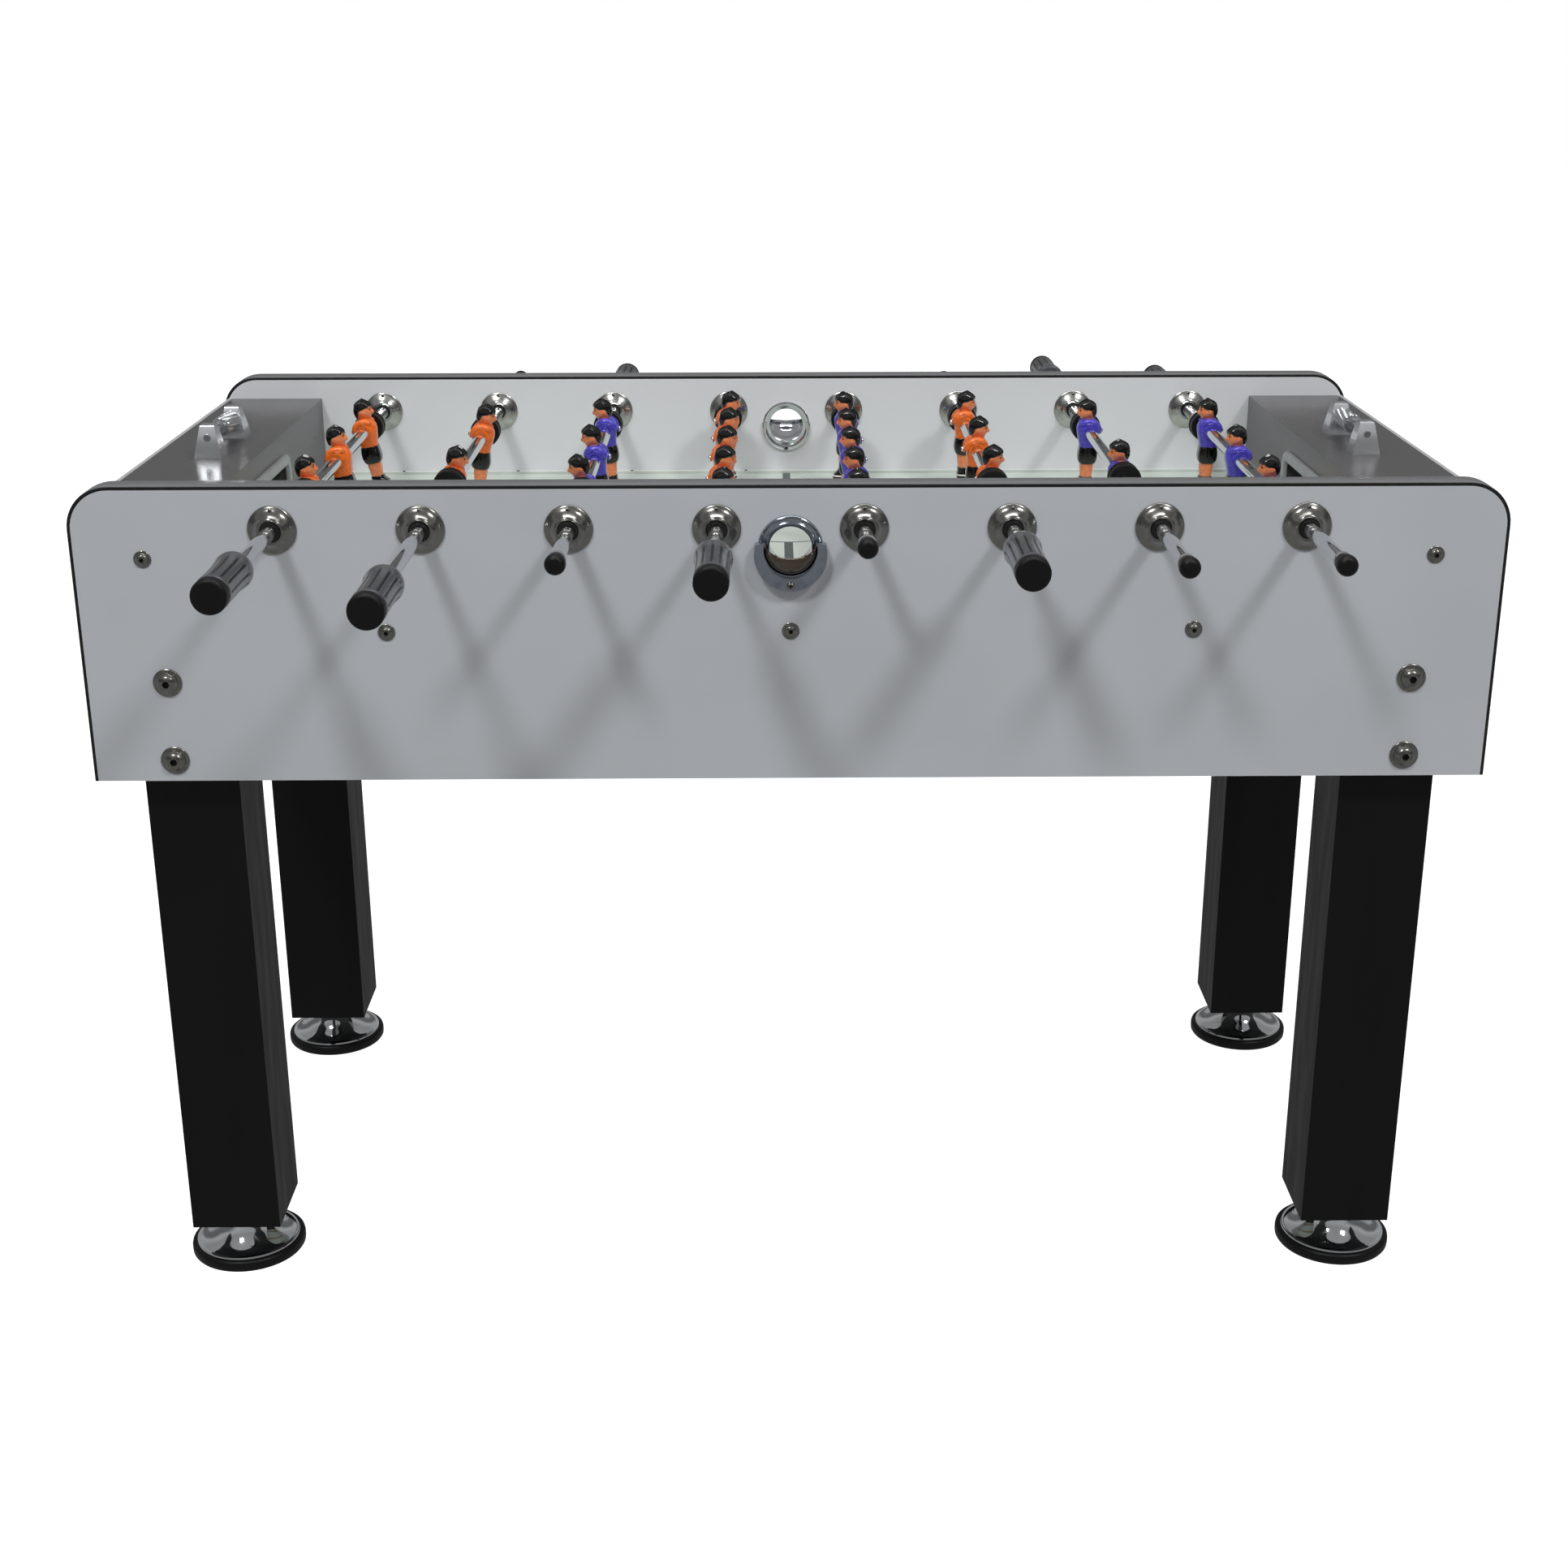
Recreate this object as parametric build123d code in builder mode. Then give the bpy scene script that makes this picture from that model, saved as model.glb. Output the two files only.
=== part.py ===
from build123d import *
import os

# A free-standing foosball table in millimetres. +X runs along the table to the right goal, +Y away from
# the front players, +Z up. The origin is on the floor, under the middle of the playfield.

# ---- driving dimensions -----------------------------------------------------------------------------
LENGTH = 1466  # over the side panels
TOP = 922  # top of the side panels above the floor
CABINET_BOTTOM = 608
INNER_WIDTH = 652  # between the side panels
PANEL = 30  # side panel thickness
EDGE = 4  # edging around the side panels
CORNER = 45  # rounding of the side panels' top corners

ROD_PITCH = 150
ROD_COUNT = 8
ROD_Z = 877
ROD_R = 7.5
TUBE_WALL = 2
RUN = 0.08  # running clearance of a shaft in its hole
SEAT = 0.03  # gap of a piece fixed on its rod

FIELD_Z = 795
FIELD_BOARD = 12
GOAL_X = 605  # inner face of the goal walls
GOAL_WALL = 16
SHELF_Z = 894
SHELF = 12
CLEAT_W = 24
CLEAT_H = 60
END_PANEL = 18
END_X = 727  # outer face of the end panels

GOAL_HALF = 88  # half of the goal mouth's width
GOAL_MOUTH = 65  # height of the goal mouth
GOAL_FRAME = 9
GOAL_FRAME_PROUD = 5

ENTRY_Z = 857.5
ENTRY_BORE_R = 21.75
ENTRY_SLEEVE_R = 25
ENTRY_RING_R = 33
LIP_R = 37.5  # crescent lip outside each ball entry
LIP_DROP = 6.2  # its middle is this far below the bore's
LIP_BORE_R = 26.5
LIP_TOP = 4.5  # it is cut level here, above the bore's middle
LIP_OUT = 13.5
CUP_R = 27  # half-dome outside each ball entry, where the ball is dropped in
CUP_OUT = 5  # its middle stands this far outside the panel
CUP_WALL = 1.8

RETURN_W = 190  # slot in the end panel where the balls come back
RETURN_H = 52
RETURN_Z = 684
TRAY_Z = 681
TRAY_HALF = 105
TRAY_WALL = 3

LEG = 100
LEG_OUTER_X = 689
LEG_TOP = 770
FOOT_H = 50
FOOT_R = 65
PAD_H = 14
CONE_R = 58
CONE_TOP_R = 28
CONE_TOP = 44
NUT_R = 11
NUT_H = 5.5
STUD_R = 6
STUD_TOP = 105

LEG_BOLT_R = 5
LEG_BOLT_L = 60
LEG_HEAD_R = 15
LEG_HEAD_H = 9
SMALL_BOLT_R = 3
SMALL_BOLT_L = 40
SMALL_HEAD_R = 9
SMALL_HEAD_H = 5

FLANGE_R = 25
FLANGE_OUT = 12  # outer flange height
FLANGE_IN = 8  # inner flange height
BUSH_R = 12
BUSH_NOSE_R = 9.5

# A man's heights are measured from the rod's axis
HEAD_R = 12
HEAD_Z = 24
SHOULDER_Z = 13
SHIRT_Z = -20
SHORTS_Z = -40
ANKLE_Z = -59
SOLE_Z = -72
FOOT_HALF = 11
SCREW_HEAD_X = -16.5
SCREW_HEAD_R = 3.2
SCREW_R = 1.7
SCREW_L = 25

BUMPER_R = 18
BUMPER_L = 22
BUMPER_FROM_MAN = 18  # from a man's middle to the bumper beside him
GRIP_L = 105
GRIP_R = 19  # at its widest, near the inner end
GRIP_CAP_R = 17
GRIP_CAP_L = 14
TIP_L = 28
TIP_END = 6  # solid end of the tip cap
GRIP_FLUTES = 12

# Spacing of the men and the tip's distance from their middle, by the number of men on the rod
MAN_SPACING = {2: 266, 3: 178, 5: 120}
TIP_REACH = {2: 578, 3: 527, 5: 447}

# Each rod from left to right: men, side of its handle (-1 front, 1 rear), how far its men's middle stands
# from the table's middle, the handle end's distance from the men's middle, and how many degrees the men's
# feet have swung to the right
RODS = [
    (3, -1, 13, 638, 10),
    (2, -1, 22, 700, -7),
    (3, 1, 14, 604, 5),
    (5, -1, 4, 588, -4),
    (5, 1, -6, 540, 0),
    (3, -1, 59, 612, 0),
    (2, 1, 43, 635, 0),
    (3, 1, -2, 592, 0),
]

STAND_X = 656
STAND_Y = 60
STAND_BASE = 31
STAND_H = 37
STAND_LEAN = 12.2  # degrees that each face leans in, which leaves a top 15 wide
BEAD_COUNT = 10
BEAD_R = 11.5
BEAD_LOBES = 9
BEAD_L = 4.9
BEAD_PITCH = 5.2
BEAD_AXIS_R = 3
BEAD_Z = SHELF_Z + 23
BEAD_FAR_END = 46.2  # the pack of beads ends here, against the rear post

# ---- derived sizes ----------------------------------------------------------------------------------
WALL_Y = INNER_WIDTH / 2
OUTER_Y = WALL_Y + PANEL
ROD_X = [(i - (ROD_COUNT - 1) / 2) * ROD_PITCH for i in range(ROD_COUNT)]
SHELF_X0 = GOAL_X + GOAL_WALL
SHELF_X1 = END_X - END_PANEL
LEG_X = LEG_OUTER_X - LEG / 2
LEG_Y = WALL_Y - LEG / 2
BEAM_X = [-416, 0, 416]
BEAM_Z = 769
BEAM_W = 44
BEAM_H = 31
LEG_BOLT_X = 646
LEG_BOLT_Z = [631, 716]
CLEAT_BOLT_X = 659
CLEAT_BOLT_Z = 847
ENTRY_SCREW_Z = 820

BOTTOM_UP = (Align.CENTER, Align.CENTER, Align.MIN)
FROM_TOP = (Align.CENTER, Align.CENTER, Align.MAX)


def outward(x, side, z, y=OUTER_Y):
    """A place on a side panel, with local +Z pointing out of the table: side -1 front, 1 rear."""
    return Location((x, side * y, z), (-90 * side, 0, 0))


def inward(x, side, z, y=WALL_Y):
    """A place on a side panel's inner face, with local +Z pointing into the table."""
    return Location((x, side * y, z), (90 * side, 0, 0))


def save(piece, name):
    piece.part.label = name
    export_step(piece.part, f"parts/{name}.step")


# ---- cabinet ----------------------------------------------------------------------------------------
def panel_face(inset):
    """The side panel's outline: square below, rounded above, inset from its top and ends by the edging."""
    half = LENGTH / 2 - inset
    height = TOP - inset - CABINET_BOTTOM
    with BuildSketch(mode=Mode.PRIVATE) as outline:
        with Locations((0, CABINET_BOTTOM)):
            Rectangle(2 * half, height, align=(Align.CENTER, Align.MIN))
        fillet(outline.vertices().group_by(Axis.Y)[-1], CORNER - inset)
    return outline.sketch


def small_bolt_places():
    """Bolts of the beams under the playfield and of the shelf cleats, in X and Z."""
    beams = [(x, BEAM_Z) for x in BEAM_X]
    cleats = [(x, CLEAT_BOLT_Z) for x in (-CLEAT_BOLT_X, CLEAT_BOLT_X)]
    return beams + cleats


def leg_bolt_places():
    return [(x, z) for x in (-LEG_BOLT_X, LEG_BOLT_X) for z in LEG_BOLT_Z]


def side_panel(side):
    with BuildPart() as panel:
        with BuildSketch(Plane.XZ.offset(-side * WALL_Y)):
            add(panel_face(EDGE))
        extrude(amount=-side * PANEL)
        with Locations([outward(x, side, ROD_Z) for x in ROD_X]):
            Cylinder(BUSH_R, PANEL, align=FROM_TOP, mode=Mode.SUBTRACT)
        with Locations(outward(0, side, ENTRY_Z)):
            Cylinder(ENTRY_SLEEVE_R, PANEL, align=FROM_TOP, mode=Mode.SUBTRACT)
        with Locations([outward(x, side, z) for x, z in leg_bolt_places()]):
            Cylinder(LEG_BOLT_R, PANEL, align=FROM_TOP, mode=Mode.SUBTRACT)
        with Locations([outward(x, side, z) for x, z in small_bolt_places()]):
            Cylinder(SMALL_BOLT_R, PANEL, align=FROM_TOP, mode=Mode.SUBTRACT)
    return panel


def side_trims():
    """Edging strips: they wrap the top and both ends of each side panel, and leave its bottom bare."""
    with BuildPart() as trims:
        for side in (-1, 1):
            with BuildSketch(Plane.XZ.offset(-side * WALL_Y)):
                add(panel_face(0))
                add(panel_face(EDGE), mode=Mode.SUBTRACT)
            extrude(amount=-side * PANEL)
    return trims


def end_panel(end):
    """end is -1 for the left and 1 for the right. The slot is where the balls come back."""
    middle = end * (END_X - END_PANEL / 2)
    with BuildPart() as panel:
        with Locations((middle, 0, CABINET_BOTTOM)):
            Box(END_PANEL, INNER_WIDTH, SHELF_Z - CABINET_BOTTOM, align=BOTTOM_UP)
        with Locations((middle, 0, RETURN_Z)):
            Box(END_PANEL, RETURN_W, RETURN_H, align=BOTTOM_UP, mode=Mode.SUBTRACT)
    return panel


def goal_wall(end):
    with BuildPart() as wall:
        with Locations((end * (GOAL_X + GOAL_WALL / 2), 0, FIELD_Z)):
            Box(GOAL_WALL, INNER_WIDTH, SHELF_Z - FIELD_Z, align=BOTTOM_UP)
            Box(GOAL_WALL, 2 * GOAL_HALF, GOAL_MOUTH, align=BOTTOM_UP, mode=Mode.SUBTRACT)
    return wall


def end_shelves():
    """A shelf behind each goal wall, with a cleat down each side panel to bolt it by."""
    width = SHELF_X1 - SHELF_X0
    with BuildPart() as shelves:
        for end in (-1, 1):
            middle = end * (SHELF_X0 + SHELF_X1) / 2
            with Locations((middle, 0, SHELF_Z - SHELF)):
                Box(width, INNER_WIDTH, SHELF, align=BOTTOM_UP)
            with Locations([(middle, side * (WALL_Y - CLEAT_W / 2), SHELF_Z - SHELF) for side in (-1, 1)]):
                Box(width, CLEAT_W, CLEAT_H, align=FROM_TOP)
            with Locations([inward(end * CLEAT_BOLT_X, side, CLEAT_BOLT_Z) for side in (-1, 1)]):
                Cylinder(SMALL_BOLT_R, CLEAT_W, align=BOTTOM_UP, mode=Mode.SUBTRACT)
    return shelves


def goal_frames():
    """A three-sided rim round each goal mouth, proud of the goal wall."""
    rim_w = 2 * (GOAL_HALF + GOAL_FRAME)
    with BuildPart() as frames:
        for end in (-1, 1):
            with BuildSketch(Plane.YZ.offset(end * (GOAL_X - GOAL_FRAME_PROUD))):
                with Locations((0, FIELD_Z)):
                    Rectangle(rim_w, GOAL_MOUTH + GOAL_FRAME, align=(Align.CENTER, Align.MIN))
                    Rectangle(2 * GOAL_HALF, GOAL_MOUTH, align=(Align.CENTER, Align.MIN), mode=Mode.SUBTRACT)
            extrude(amount=end * GOAL_FRAME_PROUD)
        top_corners = frames.edges().filter_by(Axis.X).group_by(Axis.Z)[-1]
        fillet(top_corners, GOAL_FRAME)
    return frames


def playfield():
    """A flat board that runs under both goal walls."""
    with BuildPart() as board:
        with Locations((0, 0, FIELD_Z)):
            Box(2 * SHELF_X0, INNER_WIDTH, FIELD_BOARD, align=FROM_TOP)
    return board


def cross_beams():
    with BuildPart() as beams:
        with Locations([(x, 0, FIELD_Z - FIELD_BOARD) for x in BEAM_X]):
            Box(BEAM_W, INNER_WIDTH, BEAM_H, align=FROM_TOP)
        with Locations([inward(x, side, BEAM_Z) for x in BEAM_X for side in (-1, 1)]):
            Cylinder(SMALL_BOLT_R, SMALL_BOLT_L, align=BOTTOM_UP, mode=Mode.SUBTRACT)
    return beams


def ball_trays():
    """A sheet box under each goal: balls drop in over the playfield's end and roll out of the end panel."""
    depth = SHELF_X1 - SHELF_X0
    height = SHELF_Z - SHELF - TRAY_Z
    with BuildPart() as trays:
        for end in (-1, 1):
            middle = end * (SHELF_X0 + depth / 2)
            with Locations((middle, 0, TRAY_Z)):
                Box(depth, 2 * TRAY_HALF, height, align=BOTTOM_UP)
            with Locations((middle + end * TRAY_WALL, 0, TRAY_Z + TRAY_WALL)):
                Box(depth, 2 * (TRAY_HALF - TRAY_WALL), height, align=BOTTOM_UP, mode=Mode.SUBTRACT)
            with Locations((end * SHELF_X0, 0, FIELD_Z)):
                Box(4 * TRAY_WALL, 2 * GOAL_HALF, GOAL_MOUTH, align=BOTTOM_UP, mode=Mode.SUBTRACT)
    return trays


def leg(end, side):
    """A square post inside a cabinet corner, bored for its two bolts and for the foot's stud."""
    with BuildPart() as post:
        with Locations((end * LEG_X, side * LEG_Y, FOOT_H)):
            Box(LEG, LEG, LEG_TOP - FOOT_H, align=BOTTOM_UP)
        fillet(post.edges().filter_by(Axis.Z), 2)
        with Locations([inward(end * LEG_BOLT_X, side, z) for z in LEG_BOLT_Z]):
            Cylinder(LEG_BOLT_R, LEG_BOLT_L - PANEL, align=BOTTOM_UP, mode=Mode.SUBTRACT)
        with Locations((end * LEG_X, side * LEG_Y, FOOT_H)):
            Cylinder(STUD_R + RUN, STUD_TOP - FOOT_H + 10, align=BOTTOM_UP, mode=Mode.SUBTRACT)
    return post


# ---- levelling feet ---------------------------------------------------------------------------------
def foot(end, side):
    """A rubber pad, and a plated cone with its lock nut and stud. The stud screws up into the leg."""
    x, y = end * LEG_X, side * LEG_Y
    with BuildPart() as whole:
        with BuildSketch(Plane.XZ.offset(-y)):
            with BuildLine():
                Polyline((x, 0), (x + FOOT_R, 0), (x + FOOT_R, PAD_H - 2), (x + FOOT_R - 2, PAD_H))
                Polyline((x + FOOT_R - 2, PAD_H), (x, PAD_H), (x, 0))
            make_face()
        revolve(axis=Axis((x, y, 0), (0, 0, 1)))
        with BuildSketch(Plane.XZ.offset(-y)):
            with BuildLine():
                Polyline((x, PAD_H + SEAT), (x + CONE_R, PAD_H + SEAT), (x + CONE_R, PAD_H + 2))
                RadiusArc((x + CONE_R, PAD_H + 2), (x + CONE_TOP_R, CONE_TOP), 90)
                Polyline((x + CONE_TOP_R, CONE_TOP), (x, CONE_TOP), (x, PAD_H + SEAT))
            make_face()
        revolve(axis=Axis((x, y, 0), (0, 0, 1)))
        with BuildSketch(Plane.XY.offset(CONE_TOP)):
            with Locations((x, y)):
                RegularPolygon(NUT_R, 6)
        extrude(amount=NUT_H)
        with Locations((x, y, CONE_TOP)):
            Cylinder(STUD_R, STUD_TOP - CONE_TOP, align=BOTTOM_UP)
    return whole


# ---- fittings on the side panels --------------------------------------------------------------------
def turned(points):
    """A solid of revolution about Z from (radius, height) points that go once round its section."""
    with BuildPart() as solid:
        with BuildSketch(Plane.XZ):
            with BuildLine():
                Polyline(*points, close=True)
            make_face()
        revolve(axis=Axis.Z)
    return solid.part


def rod_bushings():
    """A bush through the panel for each rod, with a nose inside each flange. Height 0 is the outer face."""
    bore = ROD_R + RUN
    nose_out = FLANGE_OUT - 1.5
    nose_in = -PANEL - FLANGE_IN + 1
    section = [(bore, nose_in), (BUSH_NOSE_R, nose_in), (BUSH_NOSE_R, -PANEL), (BUSH_R, -PANEL)]
    section += [(BUSH_R, 0), (BUSH_NOSE_R, 0), (BUSH_NOSE_R, nose_out), (bore, nose_out)]
    bush = turned(section)
    with BuildPart() as bushings:
        with Locations([outward(x, side, ROD_Z) for side in (-1, 1) for x in ROD_X]):
            add(bush)
    return bushings


def flange(height):
    """A domed plate over a bush, flat on the panel, with a raised collar round the rod."""
    r = FLANGE_R
    section = [(BUSH_NOSE_R, 0), (r, 0), (r, 1.6), (r - 1.5, 3), (r - 6, 4.4), (r - 9, 5.6)]
    section += [(r - 11.5, height - 0.8), (r - 12.5, height), (BUSH_NOSE_R, height)]
    return turned(section)


def rod_flanges():
    outer = flange(FLANGE_OUT)
    inner = flange(FLANGE_IN)
    with BuildPart() as flanges:
        with Locations([outward(x, side, ROD_Z) for side in (-1, 1) for x in ROD_X]):
            add(outer)
        with Locations([inward(x, side, ROD_Z) for side in (-1, 1) for x in ROD_X]):
            add(inner)
    return flanges


def ball_entries():
    """A sleeve and two rings through each side panel, with a lip and a half-dome cup outside them."""
    sleeve = [(ENTRY_BORE_R, -PANEL - 3), (ENTRY_RING_R, -PANEL - 3), (ENTRY_RING_R, -PANEL)]
    sleeve += [(ENTRY_SLEEVE_R, -PANEL), (ENTRY_SLEEVE_R, 0), (ENTRY_RING_R, 0), (ENTRY_RING_R, 2.5)]
    sleeve += [(ENTRY_RING_R - 3, 5), (ENTRY_BORE_R + 1.5, 5), (ENTRY_BORE_R, 3.5)]
    ring = turned(sleeve)
    with BuildPart() as entries:
        for side in (-1, 1):
            with Locations(outward(0, side, ENTRY_Z)):
                add(ring)
            with BuildSketch(Plane.XZ.offset(-side * OUTER_Y)):
                with Locations((0, ENTRY_Z - LIP_DROP)):
                    Circle(LIP_R)
                with Locations((0, ENTRY_Z)):
                    Circle(LIP_BORE_R, mode=Mode.SUBTRACT)
                with Locations((0, ENTRY_Z + LIP_TOP)):
                    Rectangle(4 * LIP_R, 2 * LIP_R, align=(Align.CENTER, Align.MIN), mode=Mode.SUBTRACT)
            extrude(amount=-side * LIP_OUT)
            add(entry_cup(side))
            with Locations(outward(0, side, ENTRY_SCREW_Z)):
                Cylinder(2, LIP_OUT, align=BOTTOM_UP, mode=Mode.SUBTRACT)
    return entries


def entry_cup(side):
    """A short tube closed by a half sphere, cut off level so that it is open at the top."""
    with BuildPart() as cup:
        with Locations(outward(0, side, ENTRY_Z)):
            Cylinder(CUP_R, CUP_OUT, align=BOTTOM_UP)
        with Locations((0, side * (OUTER_Y + CUP_OUT), ENTRY_Z)):
            Sphere(CUP_R)
            Sphere(CUP_R - CUP_WALL, mode=Mode.SUBTRACT)
        with Locations(outward(0, side, ENTRY_Z)):
            Cylinder(CUP_R - CUP_WALL, CUP_OUT, align=BOTTOM_UP, mode=Mode.SUBTRACT)
        with Locations((0, side * (OUTER_Y + 1 - CUP_R), ENTRY_Z)):
            Box(4 * CUP_R, 2 * CUP_R, 4 * CUP_R, mode=Mode.SUBTRACT)
        with Locations((0, side * OUTER_Y, ENTRY_Z + LIP_TOP)):
            Box(4 * CUP_R, 4 * CUP_R, 2 * CUP_R, align=BOTTOM_UP, mode=Mode.SUBTRACT)
    return cup.part


def dome_bolt(head_r, head_h, shank_r, length, socket_r):
    """A domed bolt from height 0: its head outside, its shank inwards, and a hexagon socket in the head."""
    dome_r = (head_r**2 + head_h**2) / (2 * head_h)
    with BuildPart() as bolt:
        with BuildSketch(Plane.XZ):
            with BuildLine():
                Polyline((0, -length), (shank_r, -length), (shank_r, 0), (head_r, 0))
                RadiusArc((head_r, 0), (0, head_h), -dome_r)
                Line((0, head_h), (0, -length))
            make_face()
        revolve(axis=Axis.Z)
        with BuildSketch(Plane.XY.offset(head_h / 3)):
            RegularPolygon(socket_r, 6)
        extrude(amount=head_h, mode=Mode.SUBTRACT)
    return bolt.part


def leg_bolts():
    bolt = dome_bolt(LEG_HEAD_R, LEG_HEAD_H, LEG_BOLT_R - SEAT, LEG_BOLT_L, 4)
    with BuildPart() as bolts:
        with Locations([outward(x, side, z) for side in (-1, 1) for x, z in leg_bolt_places()]):
            add(bolt)
    return bolts


def panel_bolts():
    """Small bolts of the beams and cleats, and the screw of each ball entry's lip."""
    bolt = dome_bolt(SMALL_HEAD_R, SMALL_HEAD_H, SMALL_BOLT_R - SEAT, SMALL_BOLT_L, 2.5)
    screw = dome_bolt(3.5, 1.8, 2 - SEAT, LIP_OUT, 1.2)
    with BuildPart() as bolts:
        with Locations([outward(x, side, z) for side in (-1, 1) for x, z in small_bolt_places()]):
            add(bolt)
        with Locations([outward(0, side, ENTRY_SCREW_Z, OUTER_Y + LIP_OUT) for side in (-1, 1)]):
            add(screw)
    return bolts


# ---- scoring ----------------------------------------------------------------------------------------
def score_stands():
    """On each shelf, two tapered posts and the wire between them that carries the beads."""
    with BuildPart() as stands:
        for end in (-1, 1):
            places = [(end * STAND_X, side * STAND_Y) for side in (-1, 1)]
            with BuildSketch(Plane.XY.offset(SHELF_Z)):
                with Locations(places):
                    Rectangle(STAND_BASE, STAND_BASE)
            extrude(amount=STAND_H, taper=STAND_LEAN)
            with Locations(Location((end * STAND_X, 0, BEAD_Z), (90, 0, 0))):
                Cylinder(BEAD_AXIS_R, 2 * STAND_Y)
    return stands


def score_beads(end):
    """A pack of lobed beads pushed against the rear post."""
    with BuildPart() as bead:
        Cylinder(BEAD_R, BEAD_L)
        with PolarLocations(BEAD_R + 0.8, BEAD_LOBES):
            Cylinder(2.2, BEAD_L, mode=Mode.SUBTRACT)
        Cylinder(BEAD_AXIS_R + RUN, BEAD_L, mode=Mode.SUBTRACT)
    places = [BEAD_FAR_END - BEAD_L / 2 - i * BEAD_PITCH for i in range(BEAD_COUNT)]
    with BuildPart() as beads:
        with Locations([Location((end * STAND_X, y, BEAD_Z), (90, 0, 0)) for y in places]):
            add(bead.part)
    return beads


# ---- rods -------------------------------------------------------------------------------------------
def along_rod(i, y, side):
    """A place on rod i's axis at y from its men's middle, local +Z towards the side given."""
    return Location((ROD_X[i], RODS[i][2] + y, ROD_Z), (-90 * side, 0, 0))


def men_places(i):
    """Where the men of rod i stand, measured from their middle."""
    count = RODS[i][0]
    return [(n - (count - 1) / 2) * MAN_SPACING[count] for n in range(count)]


def on_rod(i, y):
    """A man's place on rod i, at y from the men's middle, swung round the rod's axis."""
    return Location((ROD_X[i], RODS[i][2] + y, ROD_Z), (0, -RODS[i][4], 0))


def man():
    """A player who looks along +X, with the rod's bore through his chest along Y at height 0."""
    with BuildPart() as player:
        with BuildSketch(Plane.XY.offset(SHIRT_Z)):
            RectangleRounded(27, 30, 8)
        extrude(amount=SHOULDER_Z - SHIRT_Z)
        fillet(player.edges().group_by(Axis.Z)[-1], 4)
        with BuildSketch(Plane.XY.offset(SHORTS_Z)):
            RectangleRounded(23, 26, 7)
        extrude(amount=SHIRT_Z - SHORTS_Z)
        with BuildSketch(Plane.XY.offset(ANKLE_Z)):
            RectangleRounded(14, 19, 5)
        extrude(amount=SHORTS_Z - ANKLE_Z)
        with BuildSketch(Plane.XZ.offset(-FOOT_HALF)):
            with BuildLine():
                Polyline((-7, ANKLE_Z), (-8, SOLE_Z + 2), (-6, SOLE_Z), (13, SOLE_Z), (17, SOLE_Z + 4))
                Polyline((17, SOLE_Z + 4), (16, ANKLE_Z - 4), (8, ANKLE_Z), (-7, ANKLE_Z))
            make_face()
        extrude(amount=2 * FOOT_HALF)
        with Locations((1, 0, SHOULDER_Z)):
            Cylinder(6, 8)
        with Locations((2, 0, HEAD_Z)):
            Sphere(HEAD_R)
        with Locations(Location((0, 0, 0), (90, 0, 0))):
            Cylinder(ROD_R + SEAT, 60, mode=Mode.SUBTRACT)
        with Locations(Location((SCREW_HEAD_X, 0, 0), (0, 90, 0))):
            Cylinder(SCREW_HEAD_R + SEAT, 2.5, align=FROM_TOP, mode=Mode.SUBTRACT)
            Cylinder(SCREW_R + SEAT, SCREW_L, align=BOTTOM_UP, mode=Mode.SUBTRACT)
    return player.part


def rod_men(i):
    facing = 0 if RODS[i][1] < 0 else 180
    player = man()
    with BuildPart() as men:
        for y in men_places(i):
            with Locations(on_rod(i, y) * Location((0, 0, 0), (0, 0, facing))):
                add(player)
    return men


def rod_tube(i):
    """A plated tube, from inside the tip cap to inside the handle, and the screws that hold the men on it."""
    count, side = RODS[i][:2]
    grip_end = RODS[i][3]
    handle_inner = grip_end - GRIP_CAP_L
    tip_inner = TIP_REACH[count] - TIP_END
    length = handle_inner + tip_inner
    middle = (handle_inner - tip_inner) / 2
    back = -1 if side < 0 else 1
    screw = Location((back * -SCREW_HEAD_X, 0, 0), (0, -90 * back, 0))
    screw_places = [on_rod(i, y) * screw for y in men_places(i)]
    with BuildPart() as tube:
        with Locations(along_rod(i, side * middle, side)):
            Cylinder(ROD_R, length)
            Cylinder(ROD_R - TUBE_WALL, length, mode=Mode.SUBTRACT)
        with Locations(screw_places):
            Cylinder(SCREW_R + SEAT, SCREW_L, align=BOTTOM_UP, mode=Mode.SUBTRACT)
            Cylinder(SCREW_R, SCREW_L - 1, align=BOTTOM_UP)
            Cylinder(SCREW_HEAD_R, 2, align=FROM_TOP)
    return tube


def rod_handle(i):
    """A fluted grip with a collar at its inner end, and the plug that closes its outer end."""
    side, grip_end = RODS[i][1], RODS[i][3]
    grip_l = GRIP_L - GRIP_CAP_L
    bore = ROD_R + SEAT
    with BuildPart() as grip:
        with BuildSketch(Plane.XZ):
            with BuildLine():
                Polyline((bore, 0), (GRIP_R - 3, 0), (GRIP_R, 3), (GRIP_R, 9))
                Spline((GRIP_R, 9), (GRIP_CAP_R - 0.8, 0.55 * grip_l), (GRIP_CAP_R, grip_l))
                Polyline((GRIP_CAP_R, grip_l), (bore, grip_l), (bore, 0))
            make_face()
        revolve(axis=Axis.Z)
        with PolarLocations(GRIP_CAP_R + 0.8, GRIP_FLUTES):
            with Locations((0, 0, 12)):
                Cylinder(2.2, grip_l - 20, align=BOTTOM_UP, mode=Mode.SUBTRACT)
    with BuildPart() as plug:
        Cylinder(GRIP_CAP_R, GRIP_CAP_L - SEAT, align=FROM_TOP)
        fillet(plug.edges().group_by(Axis.Z)[-1], 2.5)
    with BuildPart() as handle:
        with Locations(along_rod(i, side * (grip_end - GRIP_L), side)):
            add(grip.part)
        with Locations(along_rod(i, side * grip_end, side)):
            add(plug.part)
    return handle


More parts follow.
